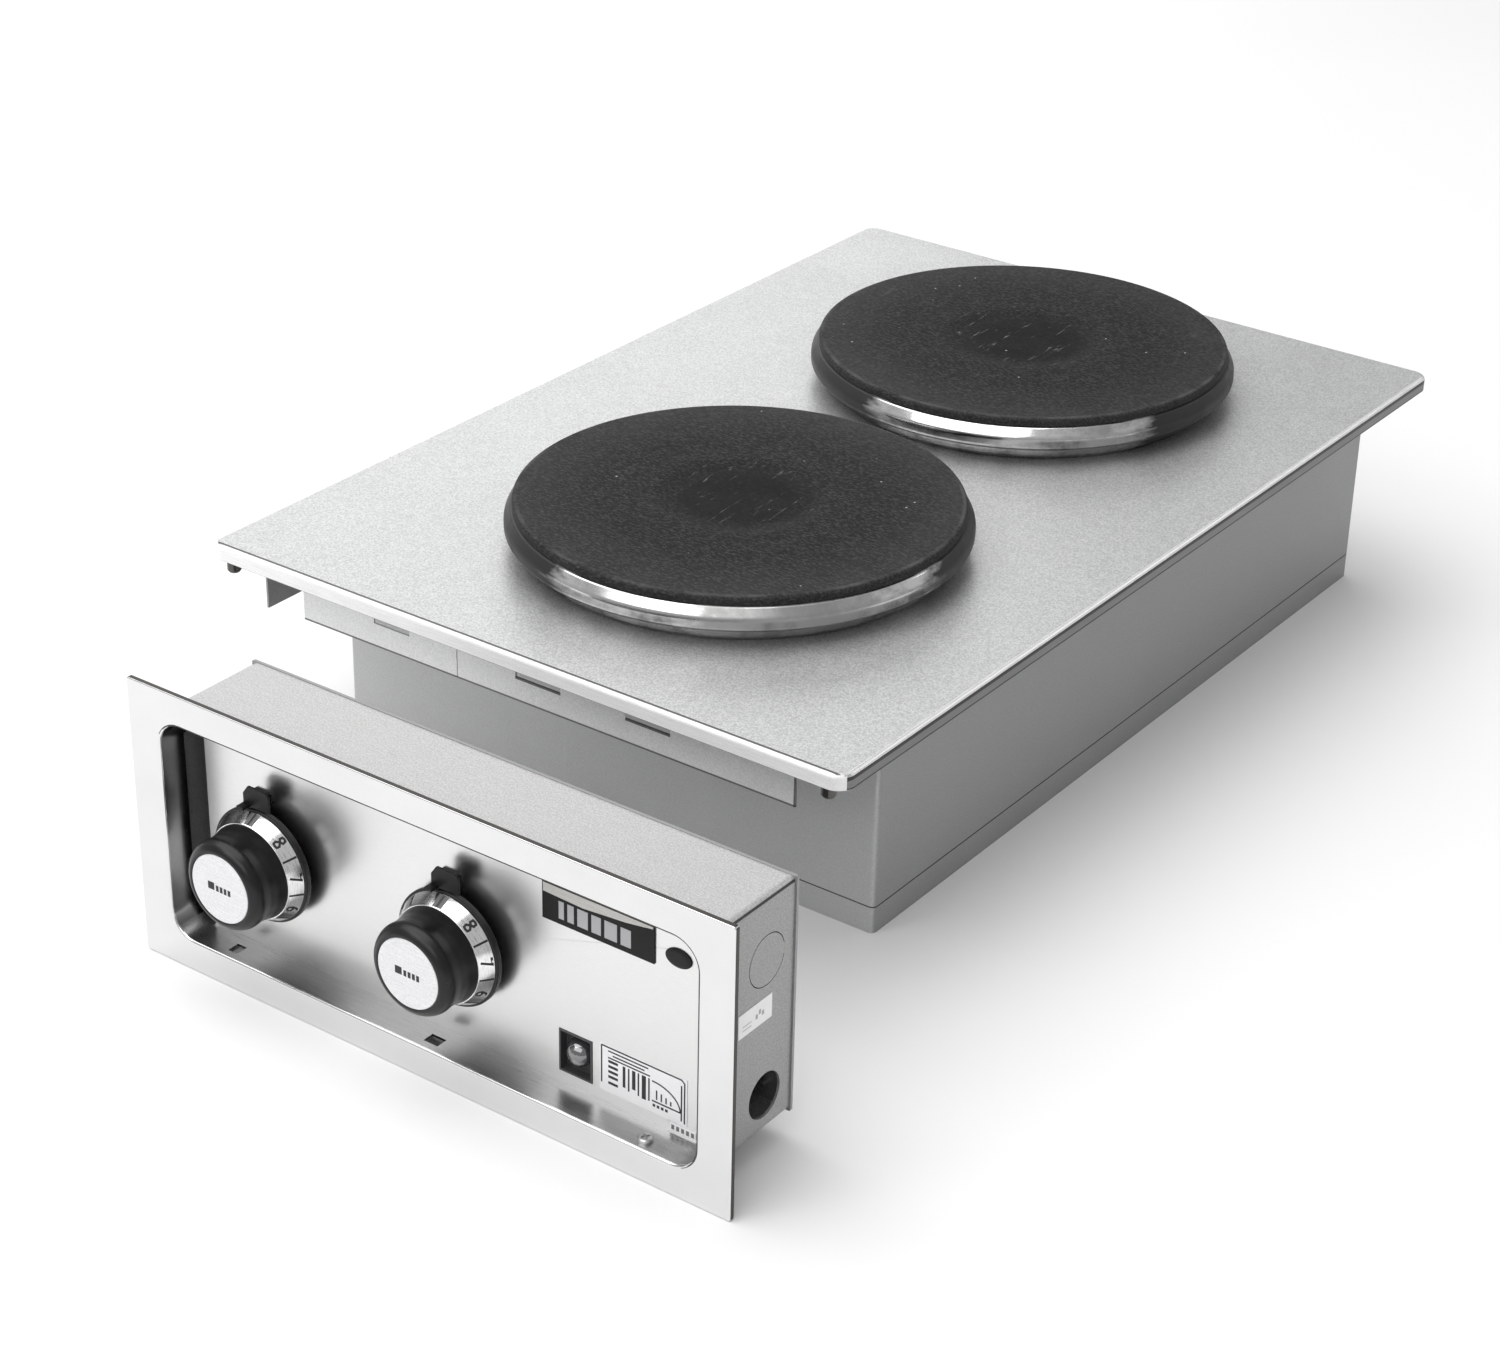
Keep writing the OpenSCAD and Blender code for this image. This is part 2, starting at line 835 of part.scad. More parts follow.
// Knob body: rear flange, core under the dial skirt, and a waisted grip with a sloping shoulder
module knob(x) {
    core_r = skirt_r1 - skirt_t - 0.2;
    color([0.12, 0.12, 0.13])
        at_panel(x, knob_z)
            turned([
                [shaft_r, shaft_front], [shaft_r, flange_off + 4.4], [14, flange_off + 4.4], [14, flange_off],
                [knob_r - 1, flange_off], [knob_r, flange_off + 1], [knob_r, flange_front - 1],
                [knob_r - 0.8, flange_front], [core_r, flange_front], [core_r, skirt_front],
                [skirt_r1 - 0.2, skirt_front], [skirt_r1 - 0.6, skirt_front + 1.2],
                [grip_waist_r + 0.6, 20], [grip_waist_r, 23], [grip_waist_r + 0.3, 25.5], [grip_rim_r - 0.2, 27.6],
                [grip_rim_r, 28.8], [grip_rim_r - 0.5, 30.2], [cap_r + 2.2, 32.8], [cap_r + 1.2, knob_reach],
                [cap_r, knob_reach - 0.1], [cap_r, knob_reach - cap_t], [0, knob_reach - cap_t], [0, shaft_front]
            ]);
}

// Conical metal skirt that carries the dial marks
module dial(x) {
    color("white")
        at_panel(x, knob_z)
            turned([
                [skirt_r0, flange_front], [skirt_r1, skirt_front], [skirt_r1 - skirt_t, skirt_front],
                [skirt_r1 - skirt_t, skirt_front - 1], [skirt_r0 - skirt_t - 0.4, flange_front]
            ]);
}

module knob_cap(x) {
    color("white")
        at_panel(x, knob_z)
            turned([
                [0, knob_reach - cap_t], [cap_r, knob_reach - cap_t], [cap_r, knob_reach - 0.3],
                [cap_r - 0.5, knob_reach], [0, knob_reach]
            ]);
}

// Index tab above a knob: a foot on the panel, an upright plate and a finger over the skirt
module pointer(x) {
    tab_w = 15.4;
    foot_w = 10.4;
    foot_h = 5;
    foot_t = 1.2;
    low = knob_r + 1;
    high = knob_r + 11;
    color([0.1, 0.1, 0.1])
        at_panel(x, knob_z) {
            translate([-tab_w / 2, -foot_t, low])
                cube([foot_w, foot_t, foot_h]);
            translate([-tab_w / 2, -8.4, low])
                cube([foot_w, 8.4 - foot_t + eps, foot_t]);
            translate([-tab_w / 2, -8.4, low])
                rotate([-90, 0, 0])
                    mirror([0, 1, 0])
                        linear_extrude(foot_t)
                            difference() {
                                square([tab_w, high - low]);
                                translate([tab_w - 3, high - low - 3])
                                    difference() {
                                        square([4, 4]);
                                        circle(r = 3, $fn = 32);
                                    }
                                polygon([[-1, high - low + 1], [3.6, high - low + 1], [-1, 4.5]]);
                            }
            translate([-tab_w / 2, -13, low])
                cube([4, 4.6, foot_t]);
        }
}

module nameplate() {
    color([0.15, 0.15, 0.15])
        at_panel(name_at[0] - name_size[0] / 2, name_at[1] - name_size[1] / 2)
            translate([0, -plate_label_t, 0])
                cube([name_size[0], plate_label_t, name_size[1]]);
}

module panel_sticker(at, size, t) {
    at_panel(at[0] - size[0] / 2, at[1] - size[1] / 2)
        translate([0, -t, 0])
            cube([size[0], t, size[1]]);
}

module rating_label() {
    color("whitesmoke")
        panel_sticker(rating_at, rating_size, 0.3);
}

module strip_label() {
    color("lightgray")
        panel_sticker(strip_at, strip_size, 0.3);
}

module lamp_frame() {
    w = lamp_size[0];
    h = lamp_size[1];
    color([0.2, 0.2, 0.2])
        at_panel(lamp_at[0], lamp_at[1])
            difference() {
                translate([-w / 2, -0.4, -h / 2])
                    cube([w, 10, h]);
                translate([-w / 2 + 1, -1, -h / 2 + 1])
                    cube([w - 2, 5, h - 2]);
                translate([0, 3, 0])
                    rod_y(lamp_lens_r + 0.1, 8);
            }
}

module lamp_lens() {
    color([0.5, 0.5, 0.52])
        at_panel(lamp_at[0], lamp_at[1])
            translate([0, 6, 0])
                turned(concat([[0, -3]], [[lamp_lens_r, -3], [lamp_lens_r, 2]], arc(0, 2, lamp_lens_r, 10, 90, 8)));
}

module lamp_body() {
    color("dimgray")
        at_panel(lamp_at[0], lamp_at[1])
            translate([0, 9.6, 0]) {
                rod_y(7, 22);
                for (sx = [-1, 1])
                    translate([sx * 3.5 - 0.4, 22, -2])
                        cube([0.8, 8, 4]);
            }
}

module hole_plug() {
    color([0.1, 0.1, 0.1])
        at_panel(plug_at[0], plug_at[1]) {
            translate([0, -plug_head_t, 0])
                upright(plug_size[0], plug_size[1], plug_size[1] / 2 - 0.1, plug_head_t);
            translate([0, -eps, 0])
                upright(plug_neck[0], plug_neck[1], plug_neck[1] / 2 - 0.1, panel_t + 3);
        }
}

module side_label() {
    color("white")
        at_unit()
            translate([
                shell_w / 2,
                side_label_at[0] - side_label_size[0] / 2,
                side_label_at[1] - side_label_size[1] / 2
            ])
                cube([0.3, side_label_size[0], side_label_size[1]]);
}

deck();
plate_casting(front_plate_y);  // front_plate
plate_casting(rear_plate_y);  // rear_plate
trim_ring(front_plate_y);  // front_trim_ring
trim_ring(rear_plate_y);  // rear_trim_ring
coils(front_plate_y);  // front_coils
coils(rear_plate_y);  // rear_coils
cement(front_plate_y);  // front_cement
cement(rear_plate_y);  // rear_cement
plate_cover(front_plate_y);  // front_plate_cover
plate_cover(rear_plate_y);  // rear_plate_cover
clamp_stud(front_plate_y);  // front_stud
clamp_stud(rear_plate_y);  // rear_stud
bridge_bar(front_plate_y);  // front_bridge_bar
bridge_bar(rear_plate_y);  // rear_bridge_bar
stud_nuts();
terminal_block(front_plate_y);  // front_terminal_block
terminal_block(rear_plate_y);  // rear_terminal_block
thermal_limiters();
plate_wires();
body_shell();
body_back_panel();
bottom_pan();
heat_shield();
pan_screws();
front_flange_left();
front_flange_right();
side_tab();
corner_studs();
supply_block();
ground_lug();
bezel();
control_housing();
control_back();
control_panel();
rotary_switch(-knob_left);  // left_switch
rotary_switch(knob_right);  // right_switch
switch_nuts();
switch_shaft(-knob_left);  // left_shaft
switch_shaft(knob_right);  // right_shaft
knob(-knob_left);  // left_knob
knob(knob_right);  // right_knob
dial(-knob_left);  // left_dial
dial(knob_right);  // right_dial
knob_cap(-knob_left);  // left_cap
knob_cap(knob_right);  // right_cap
pointer(-knob_left);  // left_pointer
pointer(knob_right);  // right_pointer
nameplate();
rating_label();
strip_label();
lamp_frame();
lamp_lens();
lamp_body();
hole_plug();
floor_screw();
side_label();
knockout_blank();
back_screws();
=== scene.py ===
import math

import bmesh
import bpy
from mathutils import Matrix, Vector
from mathutils.geometry import tessellate_polygon


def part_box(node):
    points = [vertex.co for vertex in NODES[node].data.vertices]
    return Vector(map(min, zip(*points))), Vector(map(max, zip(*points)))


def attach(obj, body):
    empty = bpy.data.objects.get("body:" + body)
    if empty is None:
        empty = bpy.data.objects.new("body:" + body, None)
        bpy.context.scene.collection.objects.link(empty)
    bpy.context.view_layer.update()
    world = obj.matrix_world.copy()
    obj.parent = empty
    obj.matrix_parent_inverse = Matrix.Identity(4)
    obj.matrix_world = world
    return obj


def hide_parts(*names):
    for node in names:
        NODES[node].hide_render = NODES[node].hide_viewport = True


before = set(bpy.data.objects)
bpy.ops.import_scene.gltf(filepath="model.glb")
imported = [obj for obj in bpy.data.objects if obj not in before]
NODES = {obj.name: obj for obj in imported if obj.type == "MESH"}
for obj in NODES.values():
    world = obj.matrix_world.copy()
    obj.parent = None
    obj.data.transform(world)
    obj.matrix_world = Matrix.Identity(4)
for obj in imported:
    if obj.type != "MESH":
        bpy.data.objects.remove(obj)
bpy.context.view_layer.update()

MM = 0.001
HOB = "hob"
CONTROL = "control_unit"
TURNS = {"left": "left_control_knob", "right": "right_control_knob"}


# ---- Places, read from the model's parts, in millimetres ----

def box_mm(node):
    low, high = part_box(node)
    return low / MM, high / MM


DECK_LO, DECK_HI = box_mm("deck")
DECK_TOP = DECK_HI.z
DECK_SIZE = (DECK_HI.x - DECK_LO.x, DECK_HI.y - DECK_LO.y)
BEZEL_LO, BEZEL_HI = box_mm("bezel")
PANEL_Y = box_mm("control_panel")[0].y


def middle(node):
    low, high = box_mm(node)
    return (low + high) / 2


# ---- Materials: small helpers, then one function for each look ----

def grey(level):
    return (level, level, level)


def tint(color, factor):
    """The colour made lighter or darker."""
    return tuple(min(1.0, c * factor) for c in color)


class Look:
    """A node material around one Principled shader."""

    def __init__(self, name, color, metallic=0.0, roughness=0.5, specular=0.5):
        self.material = bpy.data.materials.new(name)
        self.material.use_nodes = True
        self.tree = self.material.node_tree
        self.shader = self.tree.nodes["Principled BSDF"]
        self.shader.inputs["Base Color"].default_value = (*color, 1)
        self.shader.inputs["Metallic"].default_value = metallic
        self.shader.inputs["Roughness"].default_value = roughness
        self.shader.inputs["Specular IOR Level"].default_value = specular
        self.height = None

    def node(self, kind, **values):
        made = self.tree.nodes.new(kind)
        for key, value in values.items():
            setattr(made, key, value)
        return made

    def link(self, out, into):
        self.tree.links.new(out, into)

    def place(self, stretch=(1, 1, 1), turn=(0, 0, 0)):
        """The object's own coordinates in metres, stretched."""
        source = self.node("ShaderNodeTexCoord")
        mapping = self.node("ShaderNodeMapping")
        mapping.inputs["Scale"].default_value = stretch
        mapping.inputs["Rotation"].default_value = [math.radians(a) for a in turn]
        self.link(source.outputs["Object"], mapping.inputs["Vector"])
        return mapping.outputs["Vector"]

    def noise(self, size_mm, stretch=(1, 1, 1), detail=3.0, rough=0.55, turn=(0, 0, 0), bend=0.0):
        """Noise whose features are about size_mm across."""
        return self.noise_at(self.place(stretch, turn), 1 / (size_mm * MM), detail, rough, bend)

    def noise_at(self, vector, scale, detail=3.0, rough=0.55, bend=0.0):
        """Noise at a given vector."""
        made = self.node("ShaderNodeTexNoise")
        for key, value in (("Scale", scale), ("Detail", detail), ("Roughness", rough), ("Distortion", bend)):
            made.inputs[key].default_value = value
        self.link(vector, made.inputs["Vector"])
        return made.outputs["Fac"]

    def part(self, source, axis):
        """One axis of the object's own coordinates or of its normal."""
        made = self.node("ShaderNodeTexCoord")
        split = self.node("ShaderNodeSeparateXYZ")
        self.link(made.outputs[source], split.inputs["Vector"])
        return split.outputs[axis]

    def flat_parts(self, centre, axis="z"):
        """Two coordinates across an axis through centre (mm), and the one along it, in metres."""
        source = self.node("ShaderNodeTexCoord")
        offset = self.node("ShaderNodeVectorMath", operation="SUBTRACT")
        offset.inputs[1].default_value = [c * MM for c in centre]
        self.link(source.outputs["Object"], offset.inputs[0])
        split = self.node("ShaderNodeSeparateXYZ")
        self.link(offset.outputs["Vector"], split.inputs["Vector"])
        order = {"z": ("X", "Y", "Z"), "y": ("X", "Z", "Y")}[axis]
        return [split.outputs[name] for name in order]

    def span(self, a, b):
        """The length of the vector (a, b)."""
        return self.math("SQRT", self.plus(self.math("POWER", a, 2), self.math("POWER", b, 2)), 0)

    def around(self, centre, axis="z", turns=6.0, pitch_mm=0.7):
        """A vector that changes slowly round an axis and quickly across it, for turned streaks."""
        a, b, along = self.flat_parts(centre, axis)
        reach = self.span(a, b)
        joined = self.node("ShaderNodeCombineXYZ")
        for socket, value in (("X", a), ("Y", b)):
            self.link(self.times(self.math("DIVIDE", value, reach), turns), joined.inputs[socket])
        self.link(self.times(self.plus(along, reach), 1 / (pitch_mm * MM)), joined.inputs["Z"])
        return joined.outputs["Vector"]

    def sector(self, heading, place, uneven, ragged, soft, opposite=False):
        """1 within place[1] degrees of the angle place[0], with a ragged border.

        opposite adds the same on the far side of the axis."""
        lobe = self.math("COSINE", self.math("SUBTRACT", heading, math.radians(place[0])), 0)
        if opposite:
            lobe = self.math("ABSOLUTE", lobe, 0)
        lobe = self.plus(lobe, self.times(self.math("SUBTRACT", uneven, 0.5), ragged))
        border = math.cos(math.radians(place[1]))
        return self.remap(lobe, border - soft[0], border + soft[1])

    def remap(self, value, low, high, to_low=0.0, to_high=1.0):
        made = self.node("ShaderNodeMapRange")
        for key, number in (("From Min", low), ("From Max", high), ("To Min", to_low), ("To Max", to_high)):
            made.inputs[key].default_value = number
        self.link(value, made.inputs["Value"])
        return made.outputs["Result"]

    def math(self, operation, a, b):
        made = self.node("ShaderNodeMath", operation=operation)
        for socket, value in zip(made.inputs, (a, b)):
            if isinstance(value, (int, float)):
                socket.default_value = value
            else:
                self.link(value, socket)
        return made.outputs["Value"]

    def plus(self, a, b):
        return self.math("ADD", a, b)

    def times(self, a, b):
        return self.math("MULTIPLY", a, b)

    def blend(self, factor, a, b):
        """Colour a where factor is 0 and b where it is 1."""
        made = self.node("ShaderNodeMix", data_type="RGBA")
        sockets = {s.identifier: s for s in made.inputs}
        for key, value in (("Factor_Float", factor), ("A_Color", a), ("B_Color", b)):
            if isinstance(value, (int, float)):
                sockets[key].default_value = value
            elif isinstance(value, tuple):
                sockets[key].default_value = (*value, 1)
            else:
                self.link(value, sockets[key])
        return next(s for s in made.outputs if s.identifier == "Result_Color")

    def fade(self, base, color, value, low, high, most=1.0):
        """The base, turned towards a colour by at most this share as value goes from low to high."""
        return self.blend(self.remap(value, low, high, 0.0, most), base, color)

    def band(self, axis, low_mm, high_mm, soft_mm=0.12):
        """1 where the object's own coordinate is between two heights, 0 elsewhere."""
        value = self.part("Object", axis)
        above = self.remap(value, (low_mm - soft_mm) * MM, low_mm * MM)
        below = self.remap(value, high_mm * MM, (high_mm + soft_mm) * MM, 1.0, 0.0)
        return self.times(above, below)

    def paint_sheet(self, color, seam_and_shade_lines, side_shade):
        """Paints a sheet with dark seam lines and painted shade lines, and darkens it by the given factor
        where it looks along its own x, as painted shade.

        Each dark line is a list of (axis, low_mm, high_mm) bands, and lies where all of them meet."""
        for zone in seam_and_shade_lines:
            inside = SEAM_AND_SHADE_SHARE
            for axis, low, high in zone:
                inside = self.times(self.band(axis, low, high), inside)
            color = self.blend(inside, color, SEAM_AND_SHADE_COLOR)
        # Painted shade: faces that look along x are darkened by the given factor.
        if side_shade < 1:
            turned = self.math("ABSOLUTE", self.part("Normal", "X"), 0)
            color = self.fade(color, grey(0.0), turned, 0.6, 0.9, 1 - side_shade)
        self.paint(color)

    def paint(self, color):
        self.link(color, self.shader.inputs["Base Color"])

    def roughen(self, value):
        self.link(value, self.shader.inputs["Roughness"])

    def raise_by(self, value, depth_mm, strength=1.0):
        """Adds a bump of the given depth."""
        made = self.node("ShaderNodeBump")
        made.inputs["Distance"].default_value = depth_mm * MM
        made.inputs["Strength"].default_value = strength
        self.link(value, made.inputs["Height"])
        if self.height is not None:
            self.link(self.height, made.inputs["Normal"])
        self.height = made.outputs["Normal"]
        self.link(self.height, self.shader.inputs["Normal"])


# Colour and share of the dark lines: they mark real seams, and also painted shade lines along edges, folds
# and slots.
SEAM_AND_SHADE_COLOR = (0.035, 0.033, 0.03)
SEAM_AND_SHADE_SHARE = 0.85
GRAIN_STRETCH = 0.03


def satin_steel(name, color, roughness, along="x", grain=1.0, speckle=0.5, metallic=1.0, depth=0.012,
                crisp=1.0, seam_and_shade_lines=(), side_shade=1.0):
    """Satin steel: a fine grain along one axis, a speckle, faint smudges, rubbed marks, dark seam lines and
    painted shade lines, and painted shade on faces that look along its own x.
    """
    look = Look(name, color, metallic=metallic, roughness=roughness)
    lines = look.noise(0.35, [GRAIN_STRETCH if axis == along else 1 for axis in "xyz"], detail=2)
    fine = look.noise(0.8, detail=2)
    smudge = look.noise(55, detail=4, rough=0.6)
    rub = look.noise(6, (0.25, 1, 1), detail=6, rough=0.75)
    mixed = look.plus(look.times(lines, grain), look.times(fine, speckle))
    level = (grain + speckle) / 2
    reach = 0.45 / crisp
    body = look.fade(tint(color, 0.78), tint(color, 1.12), mixed, level * (1 - reach), level * (1 + reach))
    body = look.fade(body, tint(color, 1.2), rub, 0.68, 0.8, 0.3)
    look.paint_sheet(body, seam_and_shade_lines, side_shade)
    base = look.remap(smudge, 0.3, 0.7, roughness * 0.9, roughness * 1.12)
    look.roughen(look.plus(base, look.remap(mixed, level * 0.6, level * 1.4, -0.05, 0.05)))
    look.raise_by(mixed, depth, 0.35)
    return look.material


def even_satin(name, color, roughness):
    """Even satin sheet: a very fine short grain with hardly any marks."""
    look = Look(name, color, metallic=1.0, roughness=roughness)
    lines = look.noise(0.3, (0.04, 1, 1), detail=2)
    fine = look.noise(0.5, detail=2)
    cloud = look.noise(70, detail=3)
    mixed = look.plus(lines, look.times(fine, 0.8))
    body = look.fade(tint(color, 0.94), tint(color, 1.04), mixed, 0.5, 1.3)
    look.paint(look.fade(body, tint(color, 0.96), cloud, 0.4, 0.7, 0.5))
    look.roughen(look.remap(mixed, 0.5, 1.3, roughness * 0.94, roughness * 1.06))
    look.raise_by(mixed, 0.002, 0.25)
    return look.material


def dull_sheet(name, color, roughness=0.5, metallic=0.6, seam_and_shade_lines=(), side_shade=1.0):
    """Coated sheet steel: flat grey, a fine tooth, faint blotches, a few fine scuffs, dark seam lines and
    painted shade lines, and painted shade on faces that look along its own x.
    """
    look = Look(name, color, metallic=metallic, roughness=roughness)
    tooth = look.noise(0.7, detail=3)
    cloud = look.noise(38, detail=4, rough=0.6)
    scuff = look.noise(9, (1, 1, 0.06), detail=5, rough=0.7, turn=(0, 25, 12))
    body = look.fade(tint(color, 0.84), tint(color, 1.1), tooth, 0.3, 0.7)
    body = look.fade(body, tint(color, 1.25), cloud, 0.35, 0.7, 0.22)
    body = look.fade(body, tint(color, 1.6), scuff, 0.66, 0.78, 0.25)
    look.paint_sheet(body, seam_and_shade_lines, side_shade)
    look.roughen(look.remap(cloud, 0.3, 0.7, roughness * 0.9, roughness * 1.15))
    look.raise_by(tooth, 0.02, 0.3)
    return look.material


def rolled_steel(name, color, roughness, centre, axis="z", stain=0.6, pitch_mm=0.7,
                 foot=None, hot=None, dull=None):
    """Bright turned steel about an axis: streaks that run round it, dull patches, heat stain, painted shade
    at the bottom and painted dark reflections on two opposite sides.

    foot gives the heights in mm between which the painted shade at the bottom fades out; the argument for the
    dark sides gives the angle in degrees of one of two opposite places painted dark as painted dark
    reflections, and half the angle that each of them covers; dull gives the same for one place painted darker
    and made rougher."""
    look = Look(name, color, metallic=1.0, roughness=roughness)
    around = look.around(centre, axis, pitch_mm=pitch_mm)
    streak = look.noise_at(around, 1.0, detail=4, rough=0.65)
    wide = look.noise_at(around, 0.22, detail=3, rough=0.6)
    patch = look.noise(26, detail=5, rough=0.65)
    shine = look.plus(look.remap(streak, 0.35, 0.7, roughness * 0.7, roughness * 1.4),
                      look.remap(patch, 0.5, 0.75, 0.0, 0.14))
    body = look.fade(color, tint(color, 0.45), patch, 0.5, 0.66, stain)
    body = look.fade(body, tint(color, 0.4), streak, 0.5, 0.7, 0.55)
    body = look.fade(body, tint(color, 0.5), wide, 0.5, 0.66, 0.45)
    # Painted shade: the ring is darkened towards its foot at the deck.
    if foot:
        painted_foot_shade = look.band("Z", foot[0] - 40, foot[0], foot[1] - foot[0])
        body = look.blend(look.times(painted_foot_shade, look.remap(patch, 0.4, 0.6, 0.9, 0.35)), body, tint(color, 0.10))
    if hot or dull:
        a, b, _ = look.flat_parts(centre, axis)
        heading = look.math("ARCTAN2", b, a)
    # One place painted darker and made rougher.
    if dull:
        matt = look.sector(heading, dull, streak, 0.1, (0.01, 0.02))
        patchy = look.times(matt, look.remap(patch, 0.35, 0.65, 0.45, 0.95))
        body = look.blend(patchy, body, tint(color, 0.42))
        shine = look.plus(shine, look.times(matt, 0.2))
    # Painted dark reflection: two opposite sides are turned dark, less metallic and rougher.
    if hot:
        painted_dark_reflection = look.sector(heading, hot, streak, 0.22, (0.07, 0.05), opposite=True)
        body = look.blend(painted_dark_reflection, body, (0.010, 0.010, 0.0105))
        look.link(look.math("SUBTRACT", 1, painted_dark_reflection), look.shader.inputs["Metallic"])
        shine = look.plus(shine, look.times(painted_dark_reflection, 0.3))
    look.paint(body)
    look.roughen(shine)
    look.raise_by(streak, 0.02, 0.2)
    return look.material


def bright_wire(name, color, roughness):
    """Oxidised wire or pin: uneven tone and a fine scale."""
    look = Look(name, color, metallic=1.0, roughness=roughness)
    scale = look.noise(0.9, detail=3)
    patch = look.noise(7, detail=4)
    look.paint(look.fade(tint(color, 0.7), tint(color, 1.2), patch, 0.35, 0.7))
    look.roughen(look.remap(scale, 0.3, 0.7, roughness * 0.8, roughness * 1.3))
    look.raise_by(scale, 0.02, 0.3)
    return look.material


def polished_steel(name, color, roughness):
    """Bright polished sheet with long faint polishing lines and finger smudges."""
    look = Look(name, color, metallic=1.0, roughness=roughness)
    lines = look.noise(0.6, (0.02, 1, 1), detail=2)
    smudge = look.noise(32, detail=5, rough=0.6)
    look.paint(look.fade(color, tint(color, 0.93), smudge, 0.35, 0.75, 0.7))
    look.roughen(look.plus(look.remap(smudge, 0.3, 0.75, roughness * 0.75, roughness * 1.5),
                           look.remap(lines, 0.3, 0.7, -0.02, 0.03)))
    look.raise_by(lines, 0.006, 0.15)
    return look.material


def plain_dark(name, color, roughness, tooth_mm=0.35, depth=0.02, patchy=1.6, specular=0.5):
    """Moulded or painted surface with a fine tooth and uneven gloss."""
    look = Look(name, color, roughness=roughness, specular=specular)
    tooth = look.noise(tooth_mm, detail=3)
    cloud = look.noise(14, detail=4)
    look.paint(look.fade(color, tint(color, patchy), cloud, 0.35, 0.75, 0.5))
    look.roughen(look.remap(cloud, 0.3, 0.75, roughness * 0.88, roughness * 1.18))
    look.raise_by(tooth, depth, 0.4)
    return look.material


def pale_matt(name, color, roughness=0.6):
    """Paper, film or ceramic: near white, with a faint tone and a fine tooth."""
    look = Look(name, color, roughness=roughness)
    tooth = look.noise(0.5, detail=3)
    cloud = look.noise(11, detail=4)
    look.paint(look.fade(color, tint(color, 0.9), cloud, 0.3, 0.75, 0.7))
    look.roughen(look.remap(cloud, 0.3, 0.75, roughness * 0.9, roughness * 1.1))
    look.raise_by(tooth, 0.015, 0.3)
    return look.material


def hot_plate_iron(name, centre, scratched):
    """Coated cast iron about one plate: turning rings, a grainy tooth, a lighter glossier band towards the
    rim, a painted highlight on the rounded rim and pale specks.
    """
    ring_pitch, speck_pitch = 1.1 * MM, 9 * MM
    band_in, band_out = 0.070, 0.108
    rim_in, rim_out = (0.1100, 0.1112), (0.1120, 0.1126)
    dish_in, dish_out = 0.026, 0.044
    look = Look(name, (0.024, 0.024, 0.025), roughness=0.62, specular=0.07)
    radius = look.span(*look.flat_parts(centre)[:2])
    wavy = look.plus(radius, look.times(look.noise(18, detail=3), 0.0006))
    rings = look.math("SINE", look.times(wavy, 2 * math.pi / ring_pitch), 0)
    tooth = look.noise(1.0, (0.4, 1, 1), detail=5, rough=0.75)
    grit = look.noise(2.4, detail=4, rough=0.6)
    cloud = look.noise(30, detail=5, rough=0.6)
    color = look.fade((0.008, 0.008, 0.0084), (0.015, 0.015, 0.0155), cloud, 0.3, 0.7)
    color = look.fade(color, (0.060, 0.060, 0.061), tooth, 0.48, 0.62, 0.8)
    color = look.fade(color, grey(0.013), grit, 0.58, 0.7, 0.5)
    # A lighter, glossier band towards the rim.
    outer_band = look.times(look.remap(radius, band_in, band_out), look.remap(cloud, 0.3, 0.7, 0.1, 0.3))
    color = look.blend(outer_band, color, grey(0.075))
    # Painted highlight: a lighter ring on the rounded rim.
    rim = look.times(look.remap(radius, *rim_in, 0.0, 0.3), look.remap(radius, *rim_out, 1.0, 0.0))
    color = look.blend(look.times(rim, look.remap(cloud, 0.4, 0.6)), color, grey(0.16))
    blot = look.plus(radius, look.times(look.math("SUBTRACT", cloud, 0.5), 0.03))
    color = look.blend(look.remap(blot, dish_in, dish_out, 0.8, 0.0), color, (0.006, 0.006, 0.0065))
    scratch = look.noise(3.2, (1, 0.12, 1), detail=6, rough=0.75, turn=(0, 0, 35), bend=1.2)
    near = look.remap(radius, 0.03, 0.05, 1.0, 0.15)
    marks = look.times(look.remap(scratch, 0.61, 0.68, 0.0, scratched), near)
    color = look.blend(marks, color, (0.30, 0.29, 0.28))
    speck = look.node("ShaderNodeTexVoronoi")
    speck.inputs["Scale"].default_value = 1 / speck_pitch
    look.link(look.place(), speck.inputs["Vector"])
    dots = look.remap(speck.outputs["Distance"], 0.045, 0.075, 0.9, 0.0)
    chance = look.node("ShaderNodeSeparateColor")
    look.link(speck.outputs["Color"], chance.inputs["Color"])
    rare = look.remap(chance.outputs["Red"], 0.86, 0.87)
    look.paint(look.blend(look.times(dots, rare), color, (0.42, 0.41, 0.40)))
    look.roughen(look.plus(look.remap(cloud, 0.3, 0.7, 0.50, 0.64), look.times(outer_band, -0.25)))
    look.raise_by(rings, 0.012, 0.30)
    look.raise_by(grit, 0.05, 0.3)
    look.raise_by(tooth, 0.06, 0.6)
    return look.material


def tinted_lens(name):
    """Dark glossy dome."""
    look = Look(name, (0.035, 0.036, 0.04), roughness=0.07)
    look.shader.inputs["Coat Weight"].default_value = 1.0
    look.shader.inputs["Coat IOR"].default_value = 2.4
    look.shader.inputs["Coat Roughness"].default_value = 0.04
    ripple = look.noise(3, detail=2)
    look.paint(look.fade((0.04, 0.04, 0.043), (0.07, 0.07, 0.074), ripple, 0.3, 0.7))
    look.roughen(look.remap(ripple, 0.3, 0.7, 0.05, 0.1))
    look.raise_by(ripple, 0.01, 0.2)
    return look.material


